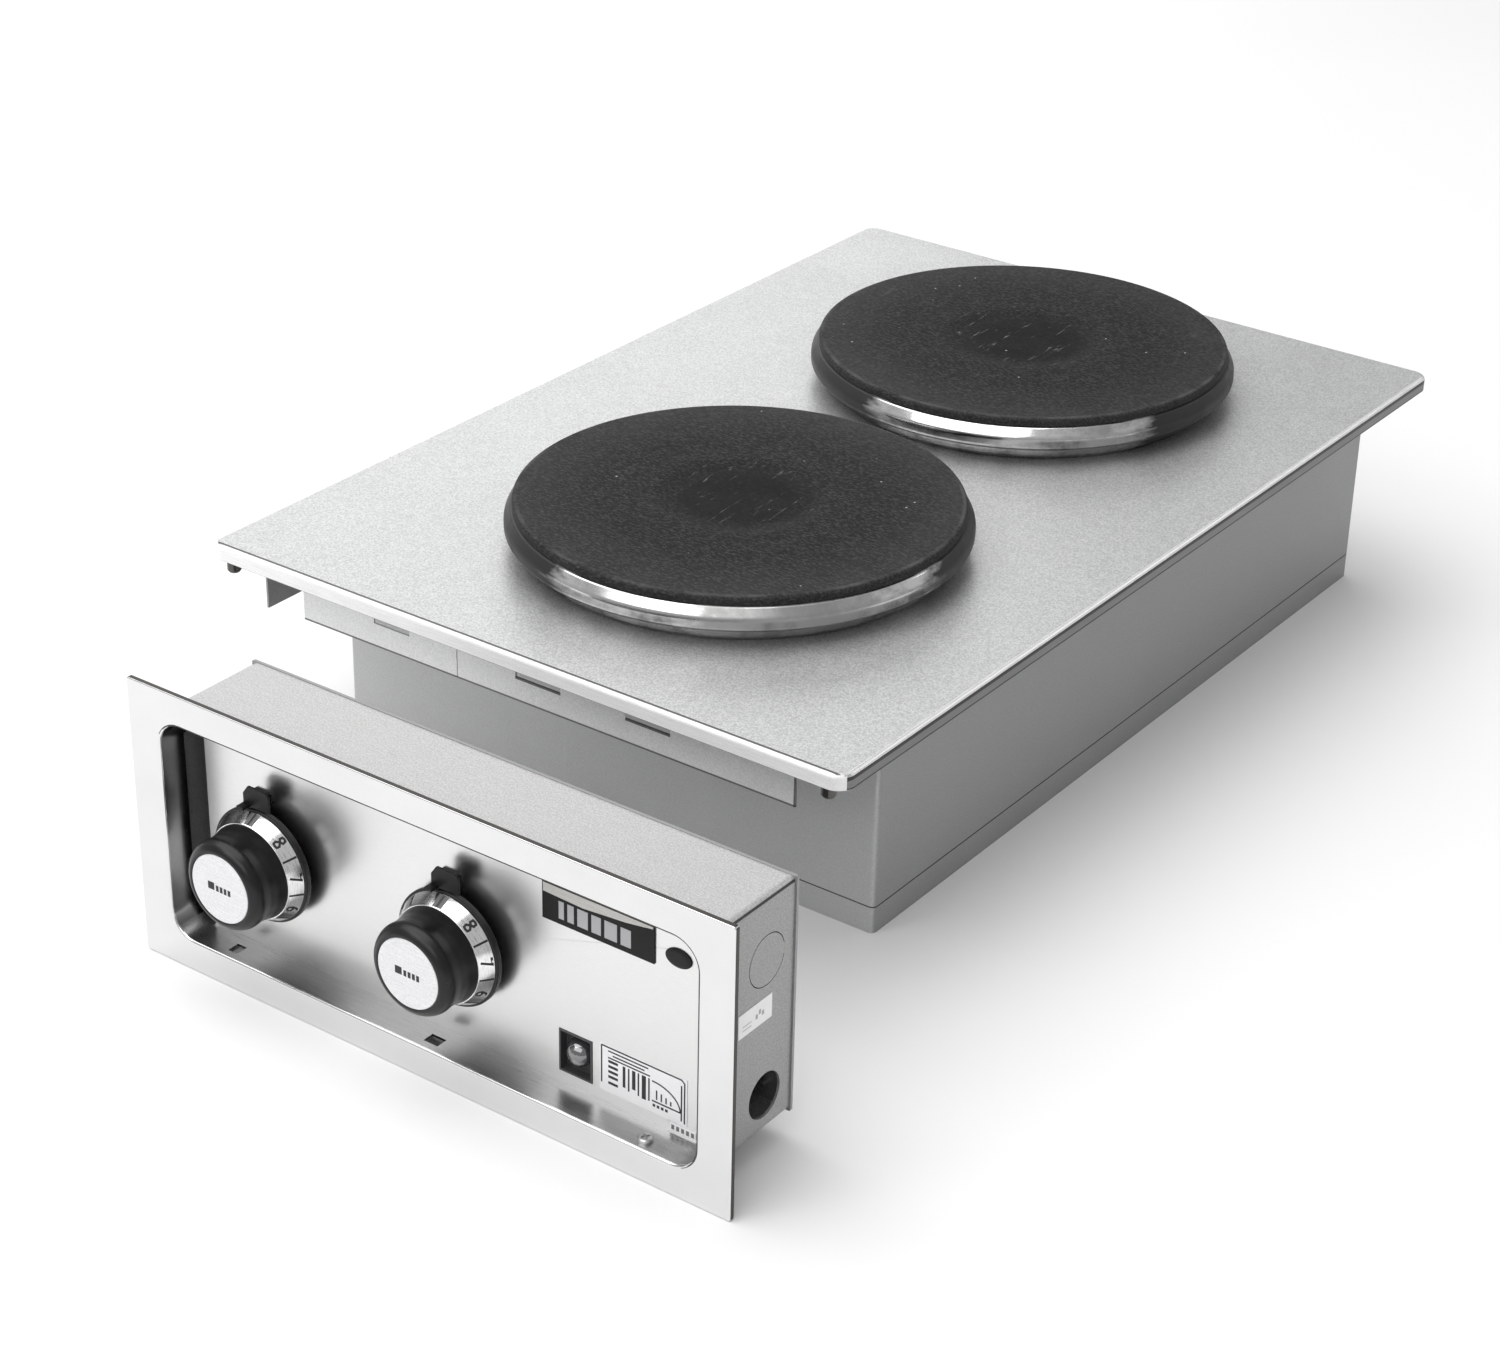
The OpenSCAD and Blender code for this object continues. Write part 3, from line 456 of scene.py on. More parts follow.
def studio_floor_look(name):
    look = Look(name, grey(0.86), roughness=0.75, specular=0.2)
    look.paint(look.fade(grey(0.85), grey(0.88), look.noise(600, detail=2), 0.3, 0.7))
    return look.material


PLATE_X = middle("front_plate").x
PLATE_Y = {"front": middle("front_plate").y, "rear": middle("rear_plate").y}
PLATE_AXIS = {side: (PLATE_X, y, 0) for side, y in PLATE_Y.items()}
KNOB_AT = {side: (middle(side + "_cap").x, middle(side + "_cap").z) for side in ("left", "right")}

# Heights above the deck between which the painted shade at the rings' foot fades out.
RING_FOOT = (DECK_TOP + 14.6, DECK_TOP + 18.4)
FLANGE_LO, FLANGE_HI = box_mm("front_flange_right")
CONTROL_TOP = box_mm("control_housing")[1].z
SEAM = box_mm("body_shell")[0].z
# Dark lines along the lower edges of the flange's slots: painted shade of the slot openings.
SLOT_FOOT = DECK_TOP - 24.8
SLOTS = ((-11, 16.6), (55.5, 81.8))
SLOT_SHADE_LINES = [[("Z", SLOT_FOOT - 0.9, SLOT_FOOT + 0.1), ("X", *slot)] for slot in SLOTS]

HOUSING_GREY = (0.50, 0.505, 0.505)
# For each plate: where its ring's two opposite sides are painted dark as painted dark reflections, one darker
# and rougher place on the ring, and how much its iron is scratched.
PLATES = {
    "front": {"hot": (38, 40), "dull": (-42, 22), "scratched": 0.4},
    "rear": {"hot": (27, 52), "dull": (-38, 9), "scratched": 0.8},
}

LOOKS = {
    # Deck: a painted shade line along the front, where the rolled edge turns down.
    "deck": satin_steel("deck_steel", (0.64, 0.645, 0.645), 0.42, grain=0.3, speckle=1.0, metallic=0.72,
                        depth=0.03, crisp=2.4, seam_and_shade_lines=[[("Y", DECK_LO.y + 2.0, DECK_LO.y + 3.2)]]),
    # Side lip: a darker copy of the deck steel as painted shade, with painted shade lines under the rolled
    # edge and along its bottom.
    "deck_lip": satin_steel("side_lip_shade_steel", grey(0.21), 0.42, "y", speckle=0.4,
                            seam_and_shade_lines=[[("Z", DECK_TOP - 3.4, DECK_TOP - 1.6)],
                                       [("Z", DECK_LO.z - 0.2, DECK_LO.z + 1.1)]]),
    # Front lip: a lighter, less metallic copy of the deck steel as painted light, with a painted shadow line
    # along its bottom.
    "front_lip": satin_steel("front_lip_light_steel", (0.97, 0.97, 0.965), 0.45, grain=0.4, speckle=0.3,
                             metallic=0.1, seam_and_shade_lines=[[("Z", DECK_LO.z - 0.2, DECK_LO.z + 0.4)]]),
    # Rolled side edge: a bright copy of the deck steel as a painted highlight.
    "deck_edge": satin_steel("deck_edge_highlight_steel", (0.97, 0.965, 0.95), 0.3, "y", speckle=0.3, metallic=0.6),
    # Housing and pan: painted shade on the faces that look along x, and a dark seam line.
    "housing": dull_sheet("housing_steel", HOUSING_GREY, 0.45, 0.35, side_shade=0.60,
                          seam_and_shade_lines=[[("Z", SEAM - 0.2, SEAM + 0.2)]]),
    "pan": dull_sheet("pan_steel", HOUSING_GREY, 0.45, 0.35, side_shade=0.60,
                      seam_and_shade_lines=[[("Z", SEAM - 0.4, SEAM + 0.2)]]),
    # Flange: painted shadow lines along its bottom edge and its right end, and painted shade at its slots.
    "flange": dull_sheet("flange_steel", (0.74, 0.745, 0.745), 0.42, 0.35,
                         seam_and_shade_lines=[[("Z", FLANGE_LO.z, FLANGE_LO.z + 1.0)],
                                    [("X", FLANGE_HI.x - 1.0, FLANGE_HI.x)],
                                    *SLOT_SHADE_LINES]),
    # Window walls and floor: darker copies of the bezel steel, painted shade in the recess.
    "liner": satin_steel("liner_shade_steel", grey(0.36), 0.2, grain=0.8, speckle=0.3, depth=0.004),
    "liner_floor": satin_steel("liner_floor_shade_steel", grey(0.45), 0.32, grain=0.8, speckle=0.3, depth=0.004),
    # Dark edge of the bezel: painted dark reflection on its rolled window edges and outer rim.
    "dark_edge": satin_steel("bezel_edge_shade", (0.045, 0.042, 0.036), 0.4, speckle=0.3, metallic=0.3),
    "sheet": dull_sheet("sheet_steel", grey(0.34), 0.48),
    "bezel": polished_steel("bezel_steel", grey(0.77), 0.15),
    "panel": even_satin("panel_steel", (0.79, 0.79, 0.785), 0.30),
    # Control housing: painted shade on the faces that look along x, and a dark line just below its top edge.
    "control": satin_steel("control_steel", (0.56, 0.56, 0.555), 0.42, grain=0.3, speckle=1.0, metallic=0.6,
                           crisp=1.8, side_shade=0.66, seam_and_shade_lines=[[("Z", CONTROL_TOP - 2.1, CONTROL_TOP - 1.2)]]),
    "plated": satin_steel("plated_steel", (0.62, 0.62, 0.61), 0.34, "z"),
    "stud": satin_steel("stud_steel", (0.11, 0.105, 0.10), 0.22, "z"),
    "brass": satin_steel("dull_brass", (0.66, 0.5, 0.24), 0.38, "z"),
    "coil": bright_wire("coil_wire", (0.34, 0.31, 0.27), 0.4),
    "cement": pale_matt("cement", (0.7, 0.67, 0.6), 0.9),
    "ceramic": pale_matt("ceramic", (0.84, 0.82, 0.76), 0.5),
    "resin": plain_dark("limiter_resin", (0.26, 0.06, 0.045), 0.5, patchy=1.3),
    "wire": plain_dark("wire_sleeve", (0.34, 0.07, 0.05), 0.75, tooth_mm=0.5, depth=0.1, patchy=1.4),
    "switch": plain_dark("switch_plastic", (0.06, 0.045, 0.04), 0.5),
    "knob": plain_dark("knob_plastic", (0.007, 0.007, 0.0075), 0.31, specular=0.36),
    "cap": satin_steel("cap_plate", (0.80, 0.80, 0.81), 0.42, grain=0.5, metallic=0.3, depth=0.006),
    "black_metal": plain_dark("black_metal", grey(0.010), 0.38, specular=0.22),
    "ink": plain_dark("black_ink", (0.012, 0.012, 0.0125), 0.5),
    "grey_ink": plain_dark("grey_ink", grey(0.16), 0.5, patchy=1.2),
    "pale_ink": pale_matt("pale_ink", (0.42, 0.42, 0.43), 0.45),
    "foil": plain_dark("name_foil", (0.010, 0.0098, 0.0095), 0.36, tooth_mm=0.5, specular=0.16),
    # A grey wedge on the nameplate: painted shadow of the bezel's top edge.
    "nameplate_shadow": satin_steel("nameplate_shadow_grey", (0.55, 0.54, 0.52), 0.4, metallic=0.6),
    "label": pale_matt("label_paper", (0.86, 0.86, 0.87), 0.45),
    "white_label": pale_matt("side_label_film", grey(0.97), 0.4),
    "lamp": plain_dark("lamp_plastic", (0.04, 0.04, 0.041), 0.34),
    "lens": tinted_lens("lamp_lens_tint"),
}
for side, plate in PLATES.items():
    LOOKS[side + "_ring"] = rolled_steel("ring_steel_" + side, (0.90, 0.895, 0.885), 0.13, PLATE_AXIS[side],
                                         pitch_mm=2.4, foot=RING_FOOT, hot=plate["hot"], dull=plate["dull"])
    LOOKS[side + "_iron"] = hot_plate_iron("cast_iron_" + side, PLATE_AXIS[side], plate["scratched"])
for side, (knob_x, knob_z) in KNOB_AT.items():
    LOOKS[side + "_dial"] = rolled_steel("dial_metal_" + side, grey(0.93), 0.16, (knob_x, 0, knob_z), "y",
                                         stain=0.1)


# ---- Mesh helpers ----

def new_piece(name, shape, body, look, replaces=(), sharp=40.0):
    """A mesh piece from (points in millimetres, faces), with outward faces and sharp creases kept."""
    verts, faces = shape
    mesh = bpy.data.meshes.new(name)
    mesh.from_pydata([[c * MM for c in v] for v in verts], [], faces)
    work = bmesh.new()
    work.from_mesh(mesh)
    bmesh.ops.remove_doubles(work, verts=work.verts, dist=1e-7)
    bmesh.ops.recalc_face_normals(work, faces=work.faces)
    work.to_mesh(mesh)
    work.free()
    return add_piece(name, mesh, body, look, replaces, sharp)


def new_object(name, data):
    made = bpy.data.objects.new(name, data)
    bpy.context.scene.collection.objects.link(made)
    return made


def even_normals(piece):
    piece.modifiers.new("even", "WEIGHTED_NORMAL").keep_sharp = True


def add_piece(name, mesh, body, look, replaces, sharp):
    mesh.shade_smooth()
    mesh.set_sharp_from_angle(angle=math.radians(sharp))
    piece = new_object(name, mesh)
    mesh.materials.clear()
    mesh.materials.append(LOOKS[look])
    even_normals(piece)
    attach(piece, body)
    if replaces:
        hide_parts(*replaces)
    return piece


def rounded(points, closed=True, steps=5):
    """A 2-D outline from (x, y) or (x, y, radius) corners: each corner with a radius becomes an arc."""
    out = []
    count = len(points)
    for i, point in enumerate(points):
        here = Vector(point[:2])
        radius = point[2] if len(point) > 2 else 0
        if not radius or (not closed and i in (0, count - 1)):
            out.append(tuple(here))
            continue
        before = Vector(points[i - 1][:2]) - here
        after = Vector(points[(i + 1) % count][:2]) - here
        half = before.angle(after) / 2
        reach = min(radius / math.tan(half), before.length * 0.499, after.length * 0.499)
        radius = reach * math.tan(half)
        start, end = before.normalized(), after.normalized()
        hub = here + (start + end).normalized() * (radius / math.sin(half))
        first = here + start * reach - hub
        sweep = first.angle_signed(here + end * reach - hub)
        for k in range(steps + 1):
            turn = -sweep * k / steps
            out.append((hub.x + first.x * math.cos(turn) - first.y * math.sin(turn),
                        hub.y + first.x * math.sin(turn) + first.y * math.cos(turn)))
    return out


def lathe(profile, put, segments=160):
    """Turns a closed (radius, height) profile; put(radius, height, angle) gives a point."""
    verts = [put(r, h, 2 * math.pi * s / segments) for s in range(segments) for r, h in profile]
    count = len(profile)
    faces = []
    for s in range(segments):
        a, b = s * count, (s + 1) % segments * count
        for i in range(count):
            j = (i + 1) % count
            on_axis = [abs(profile[k][0]) < 1e-6 for k in (i, j)]
            if on_axis == [True, True]:
                continue
            if on_axis[0]:
                faces.append((a + i, a + j, b + j))
            elif on_axis[1]:
                faces.append((a + i, a + j, b + i))
            else:
                faces.append((a + i, a + j, b + j, b + i))
    return verts, faces


def about_z(x, y, z):
    return lambda r, h, turn: (x + r * math.cos(turn), y + r * math.sin(turn), z + h)


def about_knob(side):
    """Round a knob: angle clockwise from the top as seen from the front, height in front of the panel."""
    x, z = KNOB_AT[side]
    return lambda r, out, turn: (x + r * math.sin(turn), PANEL_Y - out, z + r * math.cos(turn))


def fill(*loops):
    """Triangles that fill the first loop around the others, as places in all the loops' points."""
    return tessellate_polygon([[Vector((*point[:2], 0)) for point in loop] for loop in loops])


def wall(first, second, count):
    """Four-sided faces between two rings of count points, from the index that each of them starts at."""
    return [(first + k, first + (k + 1) % count, second + (k + 1) % count, second + k) for k in range(count)]


def prism(outline, holes, low, high, put):
    """A flat slab: outline and holes as 2-D loops, put(u, v, h) gives a point."""
    loops = [outline, *holes]
    flat = [p for loop in loops for p in loop]
    total = len(flat)
    verts = [put(u, v, h) for h in (low, high) for u, v in flat]
    triangles = fill(*loops)
    faces = [tuple(t) for t in triangles] + [tuple(i + total for i in t) for t in triangles]
    first = 0
    for loop in loops:
        faces += wall(first, first + total, len(loop))
        first += len(loop)
    return verts, faces


def join(parts):
    """Several (verts, faces) as one."""
    verts, faces = [], []
    for part_verts, part_faces in parts:
        first = len(verts)
        verts += part_verts
        faces += [tuple(i + first for i in face) for face in part_faces]
    return verts, faces


def stroke(points, width, low, high, put):
    """A pen stroke along 2-D points as a thin slab with mitred bends."""
    sides = []
    last = len(points) - 1
    closed = Vector(points[0]) == Vector(points[-1])
    for i, point in enumerate(points):
        ahead = points[1] if i == last and closed else points[min(i + 1, last)]
        behind = points[last - 1] if i == 0 and closed else points[max(i - 1, 0)]
        into = Vector(point) - Vector(behind)
        away = Vector(ahead) - Vector(point)
        into = into.normalized() if into.length else away.normalized()
        away = away.normalized() if away.length else into
        middle_way = (into + away).normalized() if (into + away).length > 1e-3 else into
        across = Vector((-middle_way.y, middle_way.x))
        miter = min(1.6, 1 / max(0.3, across.dot(Vector((-into.y, into.x)))))
        sides.append((Vector(point) + across * width / 2 * miter, Vector(point) - across * width / 2 * miter))
    verts = [put(p.x, p.y, h) for left, right in sides for p, h in
             ((left, low), (right, low), (right, high), (left, high))]
    faces = [face for i in range(last) for face in wall(4 * i, 4 * i + 4, 4)]
    if not closed:
        faces += [(0, 1, 2, 3), tuple(4 * last + k for k in range(4))]
    return verts, faces


def block(u0, v0, u1, v1, low, high, put):
    return prism([(u0, v0), (u1, v0), (u1, v1), (u0, v1)], [], low, high, put)


def row(u, v, width, height, pitch, count, low, high, put):
    """Equal blocks side by side, from the lower left corner of the first one."""
    return [block(u + pitch * k, v, u + pitch * k + width, v + height, low, high, put) for k in range(count)]


def circle(x, y, r, count=96):
    return [(x + r * math.cos(2 * math.pi * i / count), y + r * math.sin(2 * math.pi * i / count))
            for i in range(count)]


def finish_node(node, look, edge_mm):
    """Gives a CAD node its look and soft edges; its own mesh stays as it is."""
    piece = NODES[node]
    piece.data.materials.clear()
    piece.data.materials.append(LOOKS[look])
    weld = piece.modifiers.new("weld", "WELD")
    weld.merge_threshold = 1e-6
    if edge_mm:
        edge = piece.modifiers.new("edge", "BEVEL")
        edge.width = edge_mm * MM
        edge.segments = 2
        edge.limit_method = "ANGLE"
        edge.angle_limit = math.radians(40)
        edge.harden_normals = False
    even_normals(piece)


# ---- CAD nodes whose shape stays ----

# Each line: the look, how wide the edges are softened in mm, and the nodes.
NODE_LOOKS = (
    ("coil", 0, "front_coils", "rear_coils"),
    ("cement", 0, "front_cement", "rear_cement"),
    ("sheet", 0, "front_plate_cover", "rear_plate_cover"),
    ("sheet", 0.2, "heat_shield"),
    ("sheet", 0.25, "side_tab"),
    ("sheet", 0.3, "front_bridge_bar", "rear_bridge_bar", "control_back"),
    ("plated", 0, "front_stud", "rear_stud", "left_shaft", "right_shaft"),
    ("brass", 0.2, "ground_lug", "switch_nuts"),
    ("brass", 0.3, "stud_nuts"),
    ("ceramic", 0.4, "front_terminal_block", "rear_terminal_block", "supply_block"),
    ("resin", 0, "thermal_limiters"),
    ("wire", 0, "plate_wires"),
    ("housing", 0, "body_shell", "body_back_panel"),
    ("pan", 0.3, "bottom_pan"),
    ("flange", 0.15, "front_flange_left", "front_flange_right"),
    ("stud", 0, "corner_studs"),
    ("control", 0, "control_housing", "knockout_blank"),
    ("panel", 0.2, "control_panel"),
    ("switch", 0, "lamp_body"),
    ("switch", 0.3, "left_switch", "right_switch"),
    ("black_metal", 0.2, "left_pointer", "right_pointer"),
    ("foil", 0.15, "nameplate"),
    ("label", 0, "rating_label", "strip_label"),
    ("white_label", 0, "side_label"),
    ("lamp", 0.3, "lamp_frame"),
    ("lens", 0, "lamp_lens"),
)
for look_name, edge_mm, *nodes in NODE_LOOKS:
    for node in nodes:
        finish_node(node, look_name, edge_mm)


# ---- Deck: one sheet with a rolled edge, a turned-down lip and two plate holes ----

def outline(inset, z, corner_r=9.0, steps=12):
    """One ring of the deck: a rectangle with round corners, moved in by inset."""
    half_x, half_y = DECK_SIZE[0] / 2 - inset, DECK_SIZE[1] / 2 - inset
    r = max(corner_r - inset, 0.3)
    ring = []
    for quarter, (sx, sy) in enumerate(((1, 1), (-1, 1), (-1, -1), (1, -1))):
        for k in range(steps + 1):
            turn = math.radians(90 * quarter + 90 * k / steps)
            ring.append((sx * (half_x - r) + r * math.cos(turn), sy * (half_y - r) + r * math.sin(turn), z))
    return ring


def deck():
    sheet = 1.5
    lip = DECK_HI.z - DECK_LO.z
    hole_r = 88.0
    flat_inset = 6.0
    under = DECK_TOP - sheet
    edge = rounded([(flat_inset, under), (sheet, under, 0.9), (sheet, DECK_TOP - lip, 0.6),
                    (0, DECK_TOP - lip, 0.7), (0, DECK_TOP, 2.3), (flat_inset, DECK_TOP)], closed=False)
    rings = [outline(inset, z) for inset, z in edge]
    size = len(rings[0])
    verts = [p for ring in rings for p in ring]
    faces = [face for i in range(len(rings) - 1) for face in wall(i * size, (i + 1) * size, size)]
    holes = [circle(PLATE_X, y, hole_r) for y in PLATE_Y.values()]
    hole_starts = []
    for z, ring_first in ((under, 0), (DECK_TOP, (len(rings) - 1) * size)):
        hole_first = len(verts)
        hole_starts.append(hole_first)
        verts += [(x, y, z) for hole in holes for x, y in hole]
        index = [*range(ring_first, ring_first + size), *range(hole_first, len(verts))]
        faces += [tuple(index[i] for i in t) for t in fill(rings[0], *holes)]
    for h, hole in enumerate(holes):
        faces += wall(*[first + h * len(hole) for first in hole_starts], len(hole))
    piece = new_piece("deck_sheet", (verts, faces), HOB, "deck", ["deck"])
    for look in ("deck_lip", "deck_edge", "front_lip"):
        piece.data.materials.append(LOOKS[look])
    side_lip, side_edge, front_lip = 1, 2, 3
    for face in piece.data.polygons:
        across, forward, upward = abs(face.normal.x), -face.normal.y, face.normal.z
        # Front lip faces get the lighter copy: painted light.
        if forward > 0.45:
            face.material_index = front_lip
        # Side lip faces get the darker copy: painted shade.
        elif across > 0.85 and face.center.z < (DECK_TOP - 1.6) * MM:
            face.material_index = side_lip
        # Rolled side edge faces get the bright copy: painted highlight.
        elif 0.15 < across <= 0.9 and upward > 0.3 and abs(forward) < 0.2:
            face.material_index = side_edge


deck()


# ---- Hot plates and their trim rings ----

def plate_profile():
    """Closed outline of the casting, upwards from the deck's top: dished top, round rim, ribbed underside."""
    rise, rim_r, top_bottom, low = 26.7, 113.3, 22.1, 9.0
    dish_deep, dish_in, dish_out = 1.2, 32.0, 47.0
    points = [(0, low), (0, rise - dish_deep)]
    for k in range(15):
        t = k / 14
        ease = t * t * (3 - 2 * t)
        points.append((dish_in + (dish_out - dish_in) * t, rise - dish_deep * (1 - ease)))
    points.append((70, rise))
    points.append((95, rise))
    points += rounded([(100, rise), (rim_r, rise, 3.6), (rim_r, top_bottom, 0.3), (103.2, top_bottom)],
                      closed=False, steps=8)
    roof, rib_low, rib_t = 17.4, 11, 3
    ribs = []
    for r in (79, 61, 43, 25):
        ribs += [(r, roof, 0.8), (r, rib_low, 0.3), (r - rib_t, rib_low, 0.3), (r - rib_t, roof, 0.8)]
    points += rounded([(103.2, top_bottom - 1), (103.2, low, 1.2), (97, low, 0.5), (97, roof, 1.5), *ribs,
                       (12, roof, 0.8), (12, low, 0.4), (4, low), (4, 19), (0, 19)], closed=False, steps=3)
    return points[1:]


def ring_profile():
    """Closed outline of a trim ring, up from the deck's top: neck, foot, flare, bead and bulging wall."""
    return rounded([
        (87.7, -7.5, 0.3), (87.7, 0, 1.2), (104.5, 0, 0.6), (109.4, 3.4, 4), (111.6, 8.6, 1.5),
        (113.2, 9.7, 1.5),
        (115.2, 9.3, 1.2), (117.4, 11.4, 2.6), (117.4, 16.6, 6), (114.3, 21.6, 1.6), (112.7, 22.1, 0.5),
        (103.5, 22.1), (103.5, 20.9), (112.4, 20.9, 0.8), (116.2, 16, 5), (116.2, 12, 1.6),
        (114.6, 10.6, 0.8),
        (111, 10.4, 0.8), (108.6, 4.6, 3), (104.2, 1.2, 0.8), (86.5, 1.2), (86.5, -7.5, 0.3)
    ], closed=True, steps=6)


for side, y in PLATE_Y.items():
    put = about_z(PLATE_X, y, DECK_TOP)
    new_piece(side + "_plate_casting", lathe(plate_profile(), put, 180), HOB, side + "_iron",
              [side + "_plate"], sharp=35)
    new_piece(side + "_bright_ring", lathe(ring_profile(), put, 180), HOB, side + "_ring",
              [side + "_trim_ring"], sharp=50)


# ---- Bezel: the CAD shape, with its outer and window edges rolled over ----

def bezel():
    border, rim, roll = 0.010, 0.0002, 1.3 * MM
    mesh = NODES["bezel"].data.copy()
    work = bmesh.new()
    work.from_mesh(mesh)
    bmesh.ops.remove_doubles(work, verts=work.verts, dist=1e-6)
    bmesh.ops.dissolve_limit(work, angle_limit=math.radians(0.5), verts=work.verts, edges=work.edges)
    face_y, top = BEZEL_LO.y * MM, BEZEL_HI.z * MM
    front = [e for e in work.edges if all(abs(v.co.y - face_y) < 1e-6 for v in e.verts)
             and len(e.link_faces) == 2 and e.calc_face_angle(0) > math.radians(60)]
    window_x = (BEZEL_HI.x - BEZEL_LO.x) / 2 * MM - border
    middle_x = (BEZEL_LO.x + BEZEL_HI.x) / 2 * MM
    inner = [e for e in front
             if all(abs(v.co.x - middle_x) < window_x and border < v.co.z < top - border for v in e.verts)]
    outer = [e for e in front if e not in inner]
    bmesh.ops.bevel(work, geom=inner, offset=roll, segments=6, profile=0.5, affect="EDGES",
                    clamp_overlap=False)
    outer = [e for e in outer if e.is_valid]
    bmesh.ops.bevel(work, geom=outer, offset=0.7 * MM, segments=3, profile=0.5, affect="EDGES",
                    clamp_overlap=False)
    work.to_mesh(mesh)
    work.free()
    add_piece("bezel_frame", mesh, CONTROL, "bezel", ["bezel"], sharp=30)
    for look in ("liner", "liner_floor", "dark_edge"):
        mesh.materials.append(LOOKS[look])
    liner, liner_floor, dark_edge = 1, 2, 3
    for face in mesh.polygons:
        x, y, z = face.center
        in_window = abs(x - middle_x) < window_x - 0.0065 and border + 0.0035 < z < top - border - 0.0035
        at_rim = abs(x - middle_x) > window_x + border - rim or z < rim or z > top - rim
        down, left = face.normal.z < -0.05, face.normal.x < -0.05
        rolled = face.normal.y > -0.995 and (down and face.normal.x < 0.3 or left and face.normal.z < 0.3)
        # The window's walls and floor get the darker liner copies: painted shade in the recess.
        if in_window and y > face_y + roll + 0.0001:
            face.material_index = liner_floor if face.normal.z > 0.7 else liner
        # Rolled window edges that face down or left, and the outer rim, get the dark edge: painted dark
        # reflection.
        elif (at_rim and abs(face.normal.y) < 0.75) or (in_window and rolled):
            face.material_index = dark_edge


bezel()


# ---- Knobs: grip, dial skirt with its marks, and cap ----

SKIRT = ((23.6, 14.8), (27.4, 8.1))  # the cone's two ends: radius, height in front of the panel
INK = (-0.02, 0.05)  # heights between which printed marks lie on their surface

DIGITS = {
    1: [[(0.15, 0.74), (0.5, 1), (0.5, 0)]],
    2: [[(0.05, 0.8), (0.25, 1), (0.75, 1), (0.95, 0.75), (0.85, 0.52), (0.05, 0), (0.95, 0)]],
    3: [[(0.05, 0.92), (0.4, 1), (0.85, 0.9), (0.88, 0.65), (0.45, 0.53), (0.95, 0.33), (0.85, 0.08),
         (0.4, 0), (0.05, 0.1)]],
    4: [[(0.72, 0), (0.72, 1), (0.05, 0.3), (0.98, 0.3)]],
    5: [[(0.9, 1), (0.2, 1), (0.12, 0.55), (0.6, 0.6), (0.95, 0.33), (0.8, 0.06), (0.4, 0), (0.05, 0.1)]],
    6: [[(0.82, 0.98), (0.4, 0.85), (0.1, 0.45), (0.15, 0.1), (0.5, 0), (0.88, 0.12), (0.88, 0.42),
         (0.5, 0.55), (0.14, 0.4)]],
    7: [[(0.05, 1), (0.95, 1), (0.4, 0)]],
    8: [[(0.5, 0.54), (0.15, 0.7), (0.2, 0.95), (0.5, 1), (0.8, 0.95), (0.85, 0.7), (0.5, 0.54)],
        [(0.5, 0.54), (0.1, 0.3), (0.15, 0.05), (0.5, 0), (0.85, 0.05), (0.9, 0.3), (0.5, 0.54)]],
}


def on_skirt(side, turn_deg):
    """Puts flat marks on the dial's cone: u clockwise and v outwards in millimetres, h above the metal."""
    place = about_knob(side)
    (r1, out1), (r0, out0) = SKIRT
    slant = math.hypot(r0 - r1, out1 - out0)
    mean_r = (r0 + r1) / 2

    def put(u, v, h):
        r = r1 + (r0 - r1) * v / slant + h * (out1 - out0) / slant
        out = out1 - (out1 - out0) * v / slant + h * (r0 - r1) / slant
        return place(r, out, math.radians(turn_deg) + u / mean_r)
    return put


def knob(side):
    body = TURNS[side]
    place = about_knob(side)
    reach, cap_r, cap_t = 33.7, 17.0, 1.0
    face = reach - 0.12
    grip = rounded([
        (3, 30), (3, 9), (14, 9), (14, 4.6, 0.4), (28.4, 4.6, 1), (28.4, 8.1, 0.9), (22.6, 8.1), (22.6, 14.8),
        (23.3, 14.8, 0.5), (22.1, 19.6, 12), (21.8, 24.0, 12), (22.3, 28.6, 5), (20.9, 32.2, 5),
        (18.4, reach, 3.2), (cap_r + 0.1, reach, 0.3), (cap_r + 0.1, reach - cap_t), (0, reach - cap_t),
        (0, 30)
    ], steps=7)
    new_piece(side + "_grip", lathe(grip, place, 128), body, "knob", [side + "_knob"],
              sharp=50)
    skirt = rounded([(*SKIRT[0], 0.25), (*SKIRT[1], 0.25), (26.2, 8.1), (22.8, 13.8), (22.8, 14.8)], steps=3)
    new_piece(side + "_skirt", lathe(skirt, place, 128), body, side + "_dial",
              [side + "_dial"])
    disc = rounded([(0, reach - cap_t), (cap_r, reach - cap_t), (cap_r, reach, 0.6), (14.6, reach, 0.6),
                    (14.2, face, 0.4), (0, face)], steps=4)
    new_piece(side + "_cap_disc", lathe(disc, place, 96), body, "cap", [side + "_cap"])
    dial_marks(side, body)
    cap_mark(side, body, face)


def dial_marks(side, body):
    """Numbers all round with a tick between two of them, and a grey block at off."""
    low, high = -0.03, 0.06
    digit_h, digit_w, pen, step_deg = 5.2, 3.6, 1.1, 40
    parts = []
    for number, lines in DIGITS.items():
        turn = -step_deg * number
        for line in lines:
            points = [((x - 0.5) * digit_w, 1.3 + y * digit_h) for x, y in line]
            parts.append(stroke(points, pen, low, high, on_skirt(side, turn)))
        if number < len(DIGITS):
            parts.append(stroke([(0, 0.5), (0, 7.2)], 1.0, low, high, on_skirt(side, turn - step_deg / 2)))
    new_piece(side + "_dial_marks", join(parts), body, "ink")
    off = row(-2.6, 0.6, 1.3, 6.5, 1.3, 4, low, high, on_skirt(side, 0))
    new_piece(side + "_off_block", join(off), body, "grey_ink")


